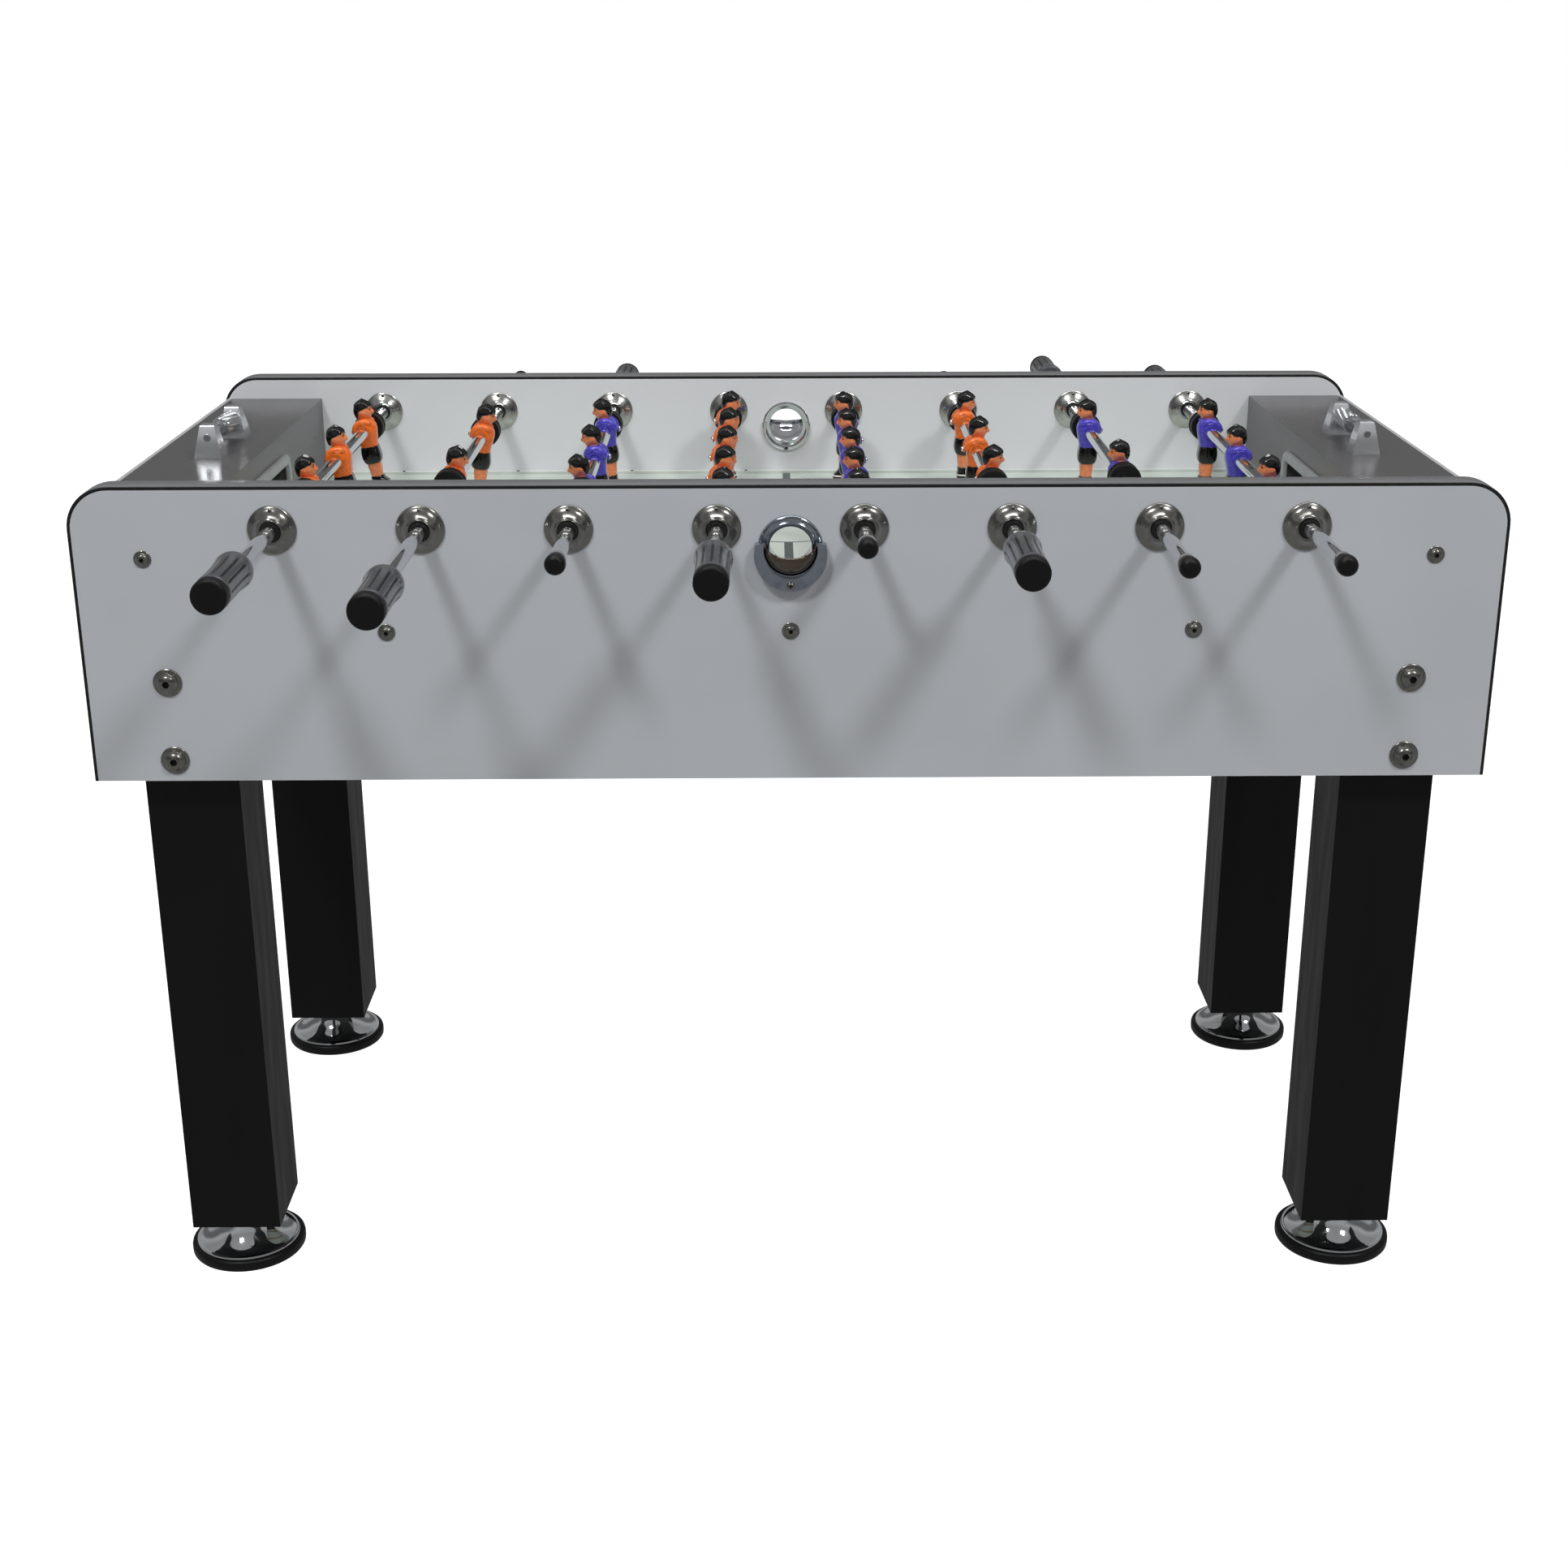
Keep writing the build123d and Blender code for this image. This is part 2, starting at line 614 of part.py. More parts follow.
def rod_bumpers(i):
    """Rubber stops beside the outermost men, and the cap on the rod's bare end."""
    count, side = RODS[i][:2]
    bore = ROD_R + RUN
    last_man = men_places(i)[-1]
    stop = turned([(bore, 0), (BUMPER_R - 1.5, 0), (BUMPER_R, 1.5), (BUMPER_R, BUMPER_L - 1.5),
                   (BUMPER_R - 1.5, BUMPER_L), (bore, BUMPER_L)])
    cap = turned([(0, TIP_L), (0, TIP_L - TIP_END + 0.5), (bore, TIP_L - TIP_END + 0.5), (bore, 0), (9, 0),
                  (9.6, 2), (9.2, 12), (10.4, 17), (10.4, 23), (8.5, 26.6), (5, TIP_L)])
    with BuildPart() as bumpers:
        with Locations([along_rod(i, s * (last_man + BUMPER_FROM_MAN), s) for s in (-1, 1)]):
            add(stop)
        with Locations(along_rod(i, -side * (TIP_REACH[count] - TIP_L), -side)):
            add(cap)
    return bumpers


# ---- write every sub-part ---------------------------------------------------------------------------
os.makedirs("parts", exist_ok=True)

save(side_panel(-1), "side_panel_front")
save(side_panel(1), "side_panel_rear")
save(side_trims(), "side_trims")
save(goal_frames(), "goal_frames")
save(end_shelves(), "end_shelves")
save(playfield(), "playfield")
save(cross_beams(), "cross_beams")
save(ball_trays(), "ball_trays")
save(rod_bushings(), "rod_bushings")
save(rod_flanges(), "rod_flanges")
save(ball_entries(), "ball_entries")
save(leg_bolts(), "leg_bolts")
save(panel_bolts(), "panel_bolts")
save(score_stands(), "score_stands")

for end, end_name in ((-1, "left"), (1, "right")):
    save(end_panel(end), f"end_panel_{end_name}")
    save(goal_wall(end), f"goal_wall_{end_name}")
    save(score_beads(end), f"score_beads_{end_name}")
    for side, side_name in ((-1, "front"), (1, "rear")):
        save(leg(end, side), f"leg_{side_name}_{end_name}")
        save(foot(end, side), f"foot_{side_name}_{end_name}")

for i in range(ROD_COUNT):
    save(rod_tube(i), f"rod_{i + 1}_tube")
    save(rod_men(i), f"rod_{i + 1}_men")
    save(rod_handle(i), f"rod_{i + 1}_handle")
    save(rod_bumpers(i), f"rod_{i + 1}_bumpers")
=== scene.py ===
import math

import bmesh
import bpy
from mathutils import Matrix, Vector


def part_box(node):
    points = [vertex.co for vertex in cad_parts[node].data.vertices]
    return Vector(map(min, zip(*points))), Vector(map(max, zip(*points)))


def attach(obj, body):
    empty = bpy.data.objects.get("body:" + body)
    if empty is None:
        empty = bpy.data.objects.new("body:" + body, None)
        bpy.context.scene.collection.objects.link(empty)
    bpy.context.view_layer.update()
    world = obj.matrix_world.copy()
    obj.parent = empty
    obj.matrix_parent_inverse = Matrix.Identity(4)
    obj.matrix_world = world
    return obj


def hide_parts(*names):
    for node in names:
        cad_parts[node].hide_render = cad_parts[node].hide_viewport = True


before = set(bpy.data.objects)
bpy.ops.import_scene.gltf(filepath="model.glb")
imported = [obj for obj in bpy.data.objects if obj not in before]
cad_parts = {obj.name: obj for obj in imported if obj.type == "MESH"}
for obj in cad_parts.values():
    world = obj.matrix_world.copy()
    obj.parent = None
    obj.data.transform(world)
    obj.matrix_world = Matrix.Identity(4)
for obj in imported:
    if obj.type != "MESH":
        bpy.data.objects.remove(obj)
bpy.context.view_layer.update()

# Pieces are built in millimetres and scaled to metres as they are finished.
MM = 0.001
TURN = 2 * math.pi


def low(node):
    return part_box(node)[0] / MM


def high(node):
    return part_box(node)[1] / MM


# ---- places taken from the frame -----------------------------
PANEL_OUT = high("side_panel_rear").y
PANEL_IN = low("side_panel_rear").y
TOP = high("side_trims").z
CABINET_BOTTOM = low("side_panel_front").z
HALF_LENGTH = high("side_trims").x
FIELD_Z = high("playfield").z
GOAL_FACE = low("goal_wall_right").x
SHELF_Z = high("end_shelves").z
# The rods, from left to right, and the men on each.
MEN_COUNT = [3, 2, 3, 5, 5, 3, 2, 3]
ROD_NAMES = [f"rod_{i + 1}" for i in range(len(MEN_COUNT))]
TUBE_LOW = [low(f"{name}_tube") for name in ROD_NAMES]
TUBE_HIGH = [high(f"{name}_tube") for name in ROD_NAMES]
ROD_PITCH = 150
ROD_X = [(i - 3.5) * ROD_PITCH for i in range(len(MEN_COUNT))]
ROD_Z = (low("rod_flanges").z + high("rod_flanges").z) / 2
ROD_R = 7.5
# The gap between a rod and what slides or turns on it.
RUN = 0.08
# -1 where a rod's handle is at the front and 1 where it is at the rear.
HANDLE_SIDE = [-1 if low(f"{n}_handle").y < -PANEL_OUT else 1 for n in ROD_NAMES]
# How far each rod's men are swung off the vertical in the photograph, feet towards +X.
LEAN = [math.radians(a) for a in (10, -7, 5, -4, 0, 0, 0, 0)]
# Half the length of rod that a man's shirt covers, from the CAD.
SHIRT_HALF = 15
# The height of the ball entries' axis.
ENTRY_Z = 857.5
SIDES = (-1, 1)
SIDE_NAMES = ((-1, "front"), (1, "rear"))
END_NAMES = ((-1, "left"), (1, "right"))
# The low strips along the field's two sides.
STRIP_WIDTH, STRIP_HEIGHT = 9, 3.4


# ---- mesh building -------------------------------------------
def toward(x, y, z, side):
    """A place whose local +Z points along Y, to the rear for side 1 and to the front for -1."""
    return Matrix.Translation((x, y, z)) @ Matrix.Rotation(-side * math.pi / 2, 4, "X")


def upright(x, y, z):
    return Matrix.Translation((x, y, z))


class Build:
    """A mesh in millimetres, made of rings of points joined by faces."""

    def __init__(self):
        self.bm = bmesh.new()

    def loft(self, rings, at=Matrix(), slot=0, loop=False):
        """Joins each ring to the next. A ring of one point closes the form.

        loop joins the last ring to the first."""
        made = [[self.bm.verts.new(at @ Vector(p)) for p in ring] for ring in rings]
        pairs = list(zip(made, made[1:]))
        if loop:
            pairs.append((made[-1], made[0]))
        for n, (a, b) in enumerate(pairs):
            count = max(len(a), len(b))
            for j in range(count):
                k = (j + 1) % count
                corners = [a[j % len(a)], a[k % len(a)], b[k % len(b)], b[j % len(b)]]
                corners = list(dict.fromkeys(corners))
                self.face(corners, slot(n) if callable(slot) else slot)
        if not loop:
            for ring in (made[0], made[-1]):
                if len(ring) > 2:
                    self.face(ring, slot(0) if callable(slot) else slot)

    def face(self, corners, slot):
        face = self.bm.faces.new(corners)
        face.material_index = slot
        face.smooth = True

    def lathe(self, outline, at=Matrix(), slot=0, segments=48, wave=None, loop=False):
        """Turns (radius, height) points about Z.

        A point's third number is the sides of a polygon, and wave scales radii."""
        rings = []
        for r, h, *sides in outline:
            if r == 0:
                rings.append([(0, 0, h)])
                continue
            ring = []
            for j in range(segments):
                a = TURN * j / segments
                reach = r * (wave(a, h) if wave else 1)
                if sides:
                    half = math.pi / sides[0]
                    reach = r * math.cos(half) / math.cos(a % (2 * half) - half)
                ring.append((reach * math.cos(a), reach * math.sin(a), h))
            rings.append(ring)
        self.loft(rings, at, slot, loop)

    def block(self, low_corner, high_corner, at=Matrix(), slot=0, bevel=1.0):
        """A box with rounded edges."""
        start = len(self.bm.verts)
        (x0, y0, z0), (x1, y1, z1) = low_corner, high_corner
        ring = [(x0, y0), (x1, y0), (x1, y1), (x0, y1)]
        self.loft([[(x, y, z) for x, y in ring] for z in (z0, z1)], at, slot)
        self.round_edges(start, bevel)

    def round_edges(self, start, bevel, segments=2):
        """Rounds every edge of what was added after vert number start."""
        self.bm.verts.ensure_lookup_table()
        new = set(self.bm.verts[start:])
        edges = [e for e in self.bm.edges if e.verts[0] in new and e.calc_face_angle(0) > 0.5]
        bmesh.ops.bevel(self.bm, geom=edges, offset=bevel, segments=segments, profile=0.6, affect="EDGES",
                        clamp_overlap=True)
        for f in self.bm.faces:
            f.smooth = True

    def stamp(self, mesh, at):
        """Adds a finished mesh at a place."""
        start = len(self.bm.verts)
        self.bm.from_mesh(mesh)
        self.bm.verts.ensure_lookup_table()
        bmesh.ops.transform(self.bm, matrix=at, verts=self.bm.verts[start:])

    def mesh(self, name, sharp=38):
        bmesh.ops.recalc_face_normals(self.bm, faces=self.bm.faces)
        for edge in self.bm.edges:
            edge.smooth = edge.calc_face_angle(0) < math.radians(sharp)
        data = bpy.data.meshes.new(name)
        self.bm.to_mesh(data)
        self.bm.free()
        return data

    def piece(self, name, body, finishes, slot_name=None, replaces=(), sharp=38):
        """Finishes the mesh as an object in metres that rides on a CAD body."""
        bmesh.ops.transform(self.bm, matrix=Matrix.Scale(MM, 4), verts=self.bm.verts)
        obj = bpy.data.objects.new(name, self.mesh(name, sharp))
        bpy.context.scene.collection.objects.link(obj)
        for one in finishes:
            obj.data.materials.append(one)
        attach(obj, body)
        if replaces:
            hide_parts(*replaces)
        return obj


def superellipse(cx, hx, hy, z, power, count=36, pinch=0.0):
    """A rounded-rectangle ring. pinch draws its front and back in along the middle, as between two legs."""
    ring = []
    for j in range(count):
        a = TURN * j / count
        c, s = math.cos(a), math.sin(a)
        x = hx * math.copysign(abs(c) ** (2 / power), c)
        y = hy * math.copysign(abs(s) ** (2 / power), s)
        x *= 1 - pinch * math.exp(-((y / (0.3 * hy)) ** 2))
        ring.append((cx + x, y, z))
    return ring


def eased(rows, steps=5):
    """Points on a smooth curve through rows of equal length."""
    made = []
    for i in range(len(rows) - 1):
        p0, p1, p2, p3 = (rows[max(0, min(len(rows) - 1, i + k))] for k in (-1, 0, 1, 2))
        for n in range(steps):
            t = n / steps
            made.append([
                0.5 * (2 * b + (c - a) * t + (2 * a - 5 * b + 4 * c - d) * t * t
                       + (3 * b - a - 3 * c + d) * t ** 3)
                for a, b, c, d in zip(p0, p1, p2, p3)
            ])
    made.append(list(rows[-1]))
    return made


def ellipsoid(radii, shape=None, rings=36, segments=48):
    """Rings of an ellipsoid's points, each moved by shape."""
    made = []
    for i in range(rings + 1):
        t = math.pi * i / rings
        ring = []
        for j in range(1 if i in (0, rings) else segments):
            a = TURN * j / segments
            p = Vector((math.sin(t) * math.cos(a), math.sin(t) * math.sin(a), -math.cos(t)))
            p = Vector((p.x * radii[0], p.y * radii[1], p.z * radii[2]))
            ring.append(shape(p) if shape else p)
        made.append(ring)
    return made


# ---- materials -----------------------------------------------
def linear(hex_colour):
    parts = [int(hex_colour[i:i + 2], 16) / 255 for i in (1, 3, 5)]
    return [p / 12.92 if p <= 0.04045 else ((p + 0.055) / 1.055) ** 2.4 for p in parts] + [1.0]


def surface(name, colour, rough, metal=0.0, spread=0.08, patch=60, rough_spread=0.06, grain=900,
            bump=0.1, stretch=(1, 1, 1), coat=0.0, specular=0.5, tint=None):
    """A node material: colour mottled in patches, roughness that wanders, and a fine grain in the surface.

    patch and grain are repeats per metre, and stretch draws both out along an axis where it is under 1."""
    made = bpy.data.materials.new(name)
    made.use_nodes = True
    tree = made.node_tree
    shader = tree.nodes["Principled BSDF"]
    shader.inputs["Metallic"].default_value = metal
    shader.inputs["Coat Weight"].default_value = coat
    shader.inputs["Coat Roughness"].default_value = 0.05
    shader.inputs["Specular IOR Level"].default_value = specular

    place = tree.nodes.new("ShaderNodeTexCoord")
    drawn = tree.nodes.new("ShaderNodeMapping")
    drawn.inputs["Scale"].default_value = stretch
    tree.links.new(place.outputs["Object"], drawn.inputs["Vector"])

    def noise(scale, detail):
        node = tree.nodes.new("ShaderNodeTexNoise")
        node.inputs["Scale"].default_value = scale
        node.inputs["Detail"].default_value = detail
        tree.links.new(drawn.outputs["Vector"], node.inputs["Vector"])
        return node.outputs["Fac"]

    base = linear(colour)
    other = linear(tint) if tint else [c * (1 - 2 * spread) for c in base[:3]] + [1.0]
    lighter = [min(1.0, c * (1 + spread)) for c in base[:3]] + [1.0]
    ramp = tree.nodes.new("ShaderNodeValToRGB")
    ramp.color_ramp.elements[0].position = 0.3
    ramp.color_ramp.elements[0].color = other
    ramp.color_ramp.elements[1].position = 0.72
    ramp.color_ramp.elements[1].color = lighter
    middle = ramp.color_ramp.elements.new(0.5)
    middle.color = base
    tree.links.new(noise(patch, 5), ramp.inputs["Fac"])
    tree.links.new(ramp.outputs["Color"], shader.inputs["Base Color"])

    spread_of = tree.nodes.new("ShaderNodeMapRange")
    spread_of.inputs["From Min"].default_value = 0.3
    spread_of.inputs["From Max"].default_value = 0.7
    spread_of.inputs["To Min"].default_value = max(0.02, rough - rough_spread)
    spread_of.inputs["To Max"].default_value = rough + rough_spread
    tree.links.new(noise(patch * 2.3, 6), spread_of.inputs["Value"])
    tree.links.new(spread_of.outputs["Result"], shader.inputs["Roughness"])

    bumps = tree.nodes.new("ShaderNodeBump")
    bumps.inputs["Strength"].default_value = bump
    bumps.inputs["Distance"].default_value = 0.0005
    tree.links.new(noise(grain, 3), bumps.inputs["Height"])
    tree.links.new(bumps.outputs["Normal"], shader.inputs["Normal"])
    return made


LAMINATE = surface("side_laminate", "#cdd1d6", 0.42, spread=0.015, patch=7, grain=700, bump=0.06,
                   specular=0.35)
BAND = surface("edge_band", "#6f7072", 0.25, spread=0.05, patch=40, grain=500, bump=0.05,
               stretch=(0.08, 1, 1))
EDGE_LINE = surface("edge_line", "#0b0b0c", 0.35, spread=0.1, patch=90, grain=900, bump=0.05)
DARK_BOARD = surface("dark_board", "#525152", 0.26, spread=0.015, patch=9, rough_spread=0.015, grain=600,
                     bump=0.006, stretch=(1, 0.2, 1))
LEG_BLACK = surface("leg_black", "#070707", 0.5, spread=0.25, patch=25, grain=420, bump=0.12,
                    stretch=(1, 1, 0.15), specular=0.25)
FIELD = surface("playfield_print", "#c3cdc4", 0.35, spread=0.02, patch=14, grain=800, bump=0.03)
FIELD_LINE = surface("field_line", "#4c5254", 0.4, spread=0.06, patch=60, grain=800, bump=0.03)
STRIP = surface("field_strip", "#c9cfca", 0.4, spread=0.03, patch=30, grain=700, bump=0.05)
WOOD = surface("beam_wood", "#a98d66", 0.6, spread=0.12, patch=22, grain=300, bump=0.25,
               stretch=(1, 0.12, 1), tint="#8a6c46")
SHEET = surface("tray_sheet", "#5b5e60", 0.45, metal=0.6, spread=0.08, patch=35, grain=500, bump=0.1)
CHROME = surface("chrome", "#dfe1e4", 0.07, metal=1.0, spread=0.03, patch=45, rough_spread=0.03,
                 grain=260, bump=0.015)
# painted reflection: the outer flange plates are chrome drawn darker and warmer than the inner ones, standing in
# for the dark room they reflect
OUTER_FLANGE_PAINTED_REFLECTION = surface("flange_plate", "#8b8a86", 0.2, metal=1.0, spread=0.08, patch=70, rough_spread=0.05,
                 grain=300, bump=0.03)
# painted reflection: the dark room seen in the entry rings and outer lips is partly real reflection and partly
# painted in by this darker, bluer copy of chrome
CHROME_PAINTED_DARK_REFLECTION = surface("dark_chrome", "#98a0aa", 0.14, metal=1.0, spread=0.1, patch=80, rough_spread=0.05,
                      grain=300, bump=0.03)
BOLT = surface("bolt_plate", "#85847f", 0.24, metal=1.0, spread=0.14, patch=160, rough_spread=0.08,
               grain=900, bump=0.08)
# painted reflection: a darker, brown-toned copy of chrome for the front entry cup, which is plated like the rear
# one
CUP_PAINTED_REFLECTION = surface("entry_cup", "#6a5f56", 0.15, metal=1.0, spread=0.1, patch=80, rough_spread=0.05, grain=300,
              bump=0.03)
FLANGE_IN = surface("inner_flange_plate", "#b5b5b2", 0.2, metal=1.0, spread=0.08, patch=70,
                    rough_spread=0.05, grain=300, bump=0.03)
# painted shade: near black, for the floors of bolt sockets and the bars of screw recesses, standing in for the
# shade inside these recesses
SOCKET_PAINTED_SHADE = surface("socket_painted_shade", "#1a1a1a", 0.5, metal=0.6, spread=0.1, patch=200, grain=900, bump=0.1)
POST = surface("post_plate", "#d9dbde", 0.16, metal=0.8, spread=0.02, patch=30, rough_spread=0.02,
               grain=200, bump=0.01)
RIM = surface("goal_rim", "#a9adae", 0.33, metal=0.3, spread=0.06, patch=60, grain=700, bump=0.08)
RUBBER = surface("black_rubber", "#060606", 0.45, spread=0.2, patch=80, grain=1400, bump=0.12,
                 specular=0.3)
NYLON = surface("black_nylon", "#161617", 0.34, spread=0.15, patch=90, grain=1200, bump=0.12)
GRIP = surface("grip_smoke", "#77797d", 0.24, metal=0.8, spread=0.03, patch=30, rough_spread=0.02,
               grain=500, bump=0.01, coat=0.3)
SKIN = surface("men_skin", "#ec8a58", 0.26, spread=0.1, patch=260, grain=900, bump=0.1, coat=0.35)
ORANGE = surface("men_orange", "#f2701c", 0.22, spread=0.1, patch=220, grain=900, bump=0.1, coat=0.4)
BLUE = surface("men_blue", "#4a40c0", 0.22, spread=0.14, patch=220, grain=900, bump=0.1, coat=0.4)
BLACK_GLOSS = surface("men_black", "#040404", 0.12, spread=0.2, patch=220, grain=900, bump=0.03, coat=0.4,
                      specular=0.4)
BOOT_LINE = surface("boot_line", "#e6e6e2", 0.35, spread=0.04, patch=200, grain=900, bump=0.05)
STRIP_LIGHT = surface("end_strip", "#b9bbbd", 0.35, spread=0.05, patch=60, grain=600, bump=0.05)


def dress(finish, *nodes):
    """Gives CAD nodes that stay visible their material."""
    for name in nodes:
        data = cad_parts[name].data
        data.materials.clear()
        data.materials.append(finish)


def paint_inner_face_light(made, colour):
    """Paints a side panel's inner face paler than its outer one, though both are the same laminate: painted
    light.
    """
    tree = made.node_tree
    shader = tree.nodes["Principled BSDF"]
    link = shader.inputs["Base Color"].links[0]
    place, split = tree.nodes.new("ShaderNodeTexCoord"), tree.nodes.new("ShaderNodeSeparateXYZ")
    tree.links.new(place.outputs["Object"], split.inputs["Vector"])
    across, inner = tree.nodes.new("ShaderNodeMath"), tree.nodes.new("ShaderNodeMath")
    across.operation, inner.operation = "ABSOLUTE", "LESS_THAN"
    tree.links.new(split.outputs["Y"], across.inputs[0])
    tree.links.new(across.outputs["Value"], inner.inputs[0])
    inner.inputs[1].default_value = (PANEL_IN + 0.5) * MM
    mix = tree.nodes.new("ShaderNodeMixRGB")
    mix.inputs["Color2"].default_value = linear(colour)
    tree.links.new(inner.outputs["Value"], mix.inputs["Fac"])
    tree.links.new(link.from_socket, mix.inputs["Color1"])
    tree.links.new(mix.outputs["Color"], shader.inputs["Base Color"])


# painted light: the inner faces of the side panels are drawn paler than the outer ones
paint_inner_face_light(LAMINATE, "#dcdee1")
dress(LAMINATE, "side_panel_front", "side_panel_rear")
dress(DARK_BOARD, "end_panel_left", "end_panel_right", "goal_wall_left", "goal_wall_right", "end_shelves")
dress(FIELD, "playfield")
dress(WOOD, "cross_beams")
dress(SHEET, "ball_trays")


# ---- cabinet -------------------------------------------------
def edging():
    """The strips over the side panels' tops and ends: a crowned band with a dark line down each face."""
    corner, thick, steps = 45, 4, 12
    half_w = (PANEL_OUT - PANEL_IN) / 2
    half_section = [(half_w - 1.6, thick - 0.1), (half_w - 0.5, thick - 0.6), (half_w, thick - 1.6), (half_w, 0)]
    section = [(-u, v) for u, v in reversed(half_section)] + [(0, thick)] + half_section
    x0, z0 = HALF_LENGTH - corner, TOP - corner
    path = [(-HALF_LENGTH, CABINET_BOTTOM, math.pi), (-HALF_LENGTH, z0 - 1, math.pi)]
    for sign in SIDES:
        for n in range(steps + 1):
            a = math.pi / 2 * n / steps
            a = math.pi - a if sign < 0 else math.pi / 2 - a
            path.append((sign * x0 + corner * math.cos(a), z0 + corner * math.sin(a), a))
    path += [(HALF_LENGTH, z0 - 1, 0), (HALF_LENGTH, CABINET_BOTTOM, 0)]
    for side, name in SIDE_NAMES:
        build = Build()
        middle = side * (PANEL_IN + half_w)
        rings = []
        for x, z, a in path:
            rings.append([(x + (v - thick) * math.cos(a), middle + u, z + (v - thick) * math.sin(a))
                          for u, v in section])
        build.loft(rings, slot=0)
        for face in build.bm.faces:
            centre = face.calc_center_median()
            face.material_index = 1 if abs(centre.y - middle) > half_w - 0.7 else 0
        build.piece(f"edging_{name}", "cabinet", [BAND, EDGE_LINE], "edging",
                    ["side_trims"] if side < 0 else [], sharp=30)


def goal_rims():
    """A rounded three-sided rim on each goal wall, swept round the mouth."""
    width, proud, corner, steps = 12, 5, 9, 7
    half = high("goal_frames").y - width
    top = high("goal_frames").z - width
    section = [(0, 0), (0, proud - 1.4), (0.5, proud - 0.4), (1.6, proud), (width - 1.6, proud),
               (width - 0.5, proud - 0.4), (width, proud - 1.4), (width, 0)]
    path = [(-half, FIELD_Z + 0.1, math.pi), (-half, top - corner, math.pi)]
    for sign in SIDES:
        for n in range(1, steps + 1):
            a = math.pi / 2 * n / steps
            a = math.pi - a if sign < 0 else math.pi / 2 - a
            path.append((sign * (half - corner) + corner * math.cos(a),
                         top - corner + corner * math.sin(a), a))
    path += [(half, FIELD_Z + 0.1, 0)]
    for end, name in END_NAMES:
        build = Build()
        rings = [[(end * (GOAL_FACE - v), y + u * math.cos(a), z + u * math.sin(a)) for u, v in section]
                 for y, z, a in path]
        build.loft(rings)
        build.piece(f"goal_rim_{name}", "cabinet", [RIM], "goal_rim", ["goal_frames"] if end < 0 else [])


def field_lines():
    """Printed markings: a centre line cut by a circle, and a box before each goal."""
    thick, line, thin = 0.25, 10, 3
    circle_r, arc_r = 73, 60
    # the goal boxes: how far each comes out from the goal wall, and half its width
    margin, deep, small = 8, (150, 190), (60, 125)
    build = Build()

    def bar(x0, x1, y0, y1):
        build.block((x0, y0, FIELD_Z), (x1, y1, FIELD_Z + thick), bevel=0.05)

    def ring(x, y, r, width, start=0.0, sweep=TURN):
        steps = max(12, int(72 * sweep / TURN))
        whole = sweep >= TURN
        rings = []
        for n in range(steps if whole else steps + 1):
            a = start + sweep * n / steps
            rings.append([(x + q * math.cos(a), y + q * math.sin(a), z)
                          for q, z in ((r, FIELD_Z), (r + width, FIELD_Z), (r + width, FIELD_Z + thick),
                                       (r, FIELD_Z + thick))])
        build.loft(rings, loop=whole)

    for side in SIDES:
        y0, y1 = sorted((side * circle_r, side * (PANEL_IN - STRIP_WIDTH)))
        bar(-line / 2, line / 2, y0, y1)
    ring(0, 0, circle_r - 2, 2)
    face = GOAL_FACE - margin
    for end in SIDES:
        for out, by in (deep, small):
            bx = face - out
            x0, x1 = sorted((end * bx, end * face))
            for side in SIDES:
                bar(x0, x1, side * by - thin / 2, side * by + thin / 2)
            bar(end * bx - thin / 2, end * bx + thin / 2, -by, by)
        ring(end * (face - deep[0]), 0, arc_r, thin, start=end * math.pi / 2, sweep=math.pi)
    build.piece("field_markings", "cabinet", [FIELD_LINE], "playfield")


def field_strips():
    """A low strip along each side wall, with a small black dome on it beside each rod."""
    build = Build()
    length = GOAL_FACE - 1
    for side in SIDES:
        y0, y1 = sorted((side * (PANEL_IN - STRIP_WIDTH), side * PANEL_IN))
        build.block((-length, y0, FIELD_Z), (length, y1, FIELD_Z + STRIP_HEIGHT), bevel=1.2)
    build.piece("field_side_strips", "cabinet", [STRIP], "playfield")
    black_dots, dot_offset = Build(), 22
    for side in SIDES:
        for x in ROD_X:
            black_dots.lathe([(0, 0), (2.1, 0), (2.1, 0.6), (1.5, 1.1), (0.5, 1.3), (0, 1.3)],
                       upright(x + dot_offset, side * (PANEL_IN - STRIP_WIDTH / 2), FIELD_Z + 3.2),
                       segments=16)
    black_dots.piece("field_strip_black_dots", "cabinet", [BLACK_GLOSS], "black_nylon")


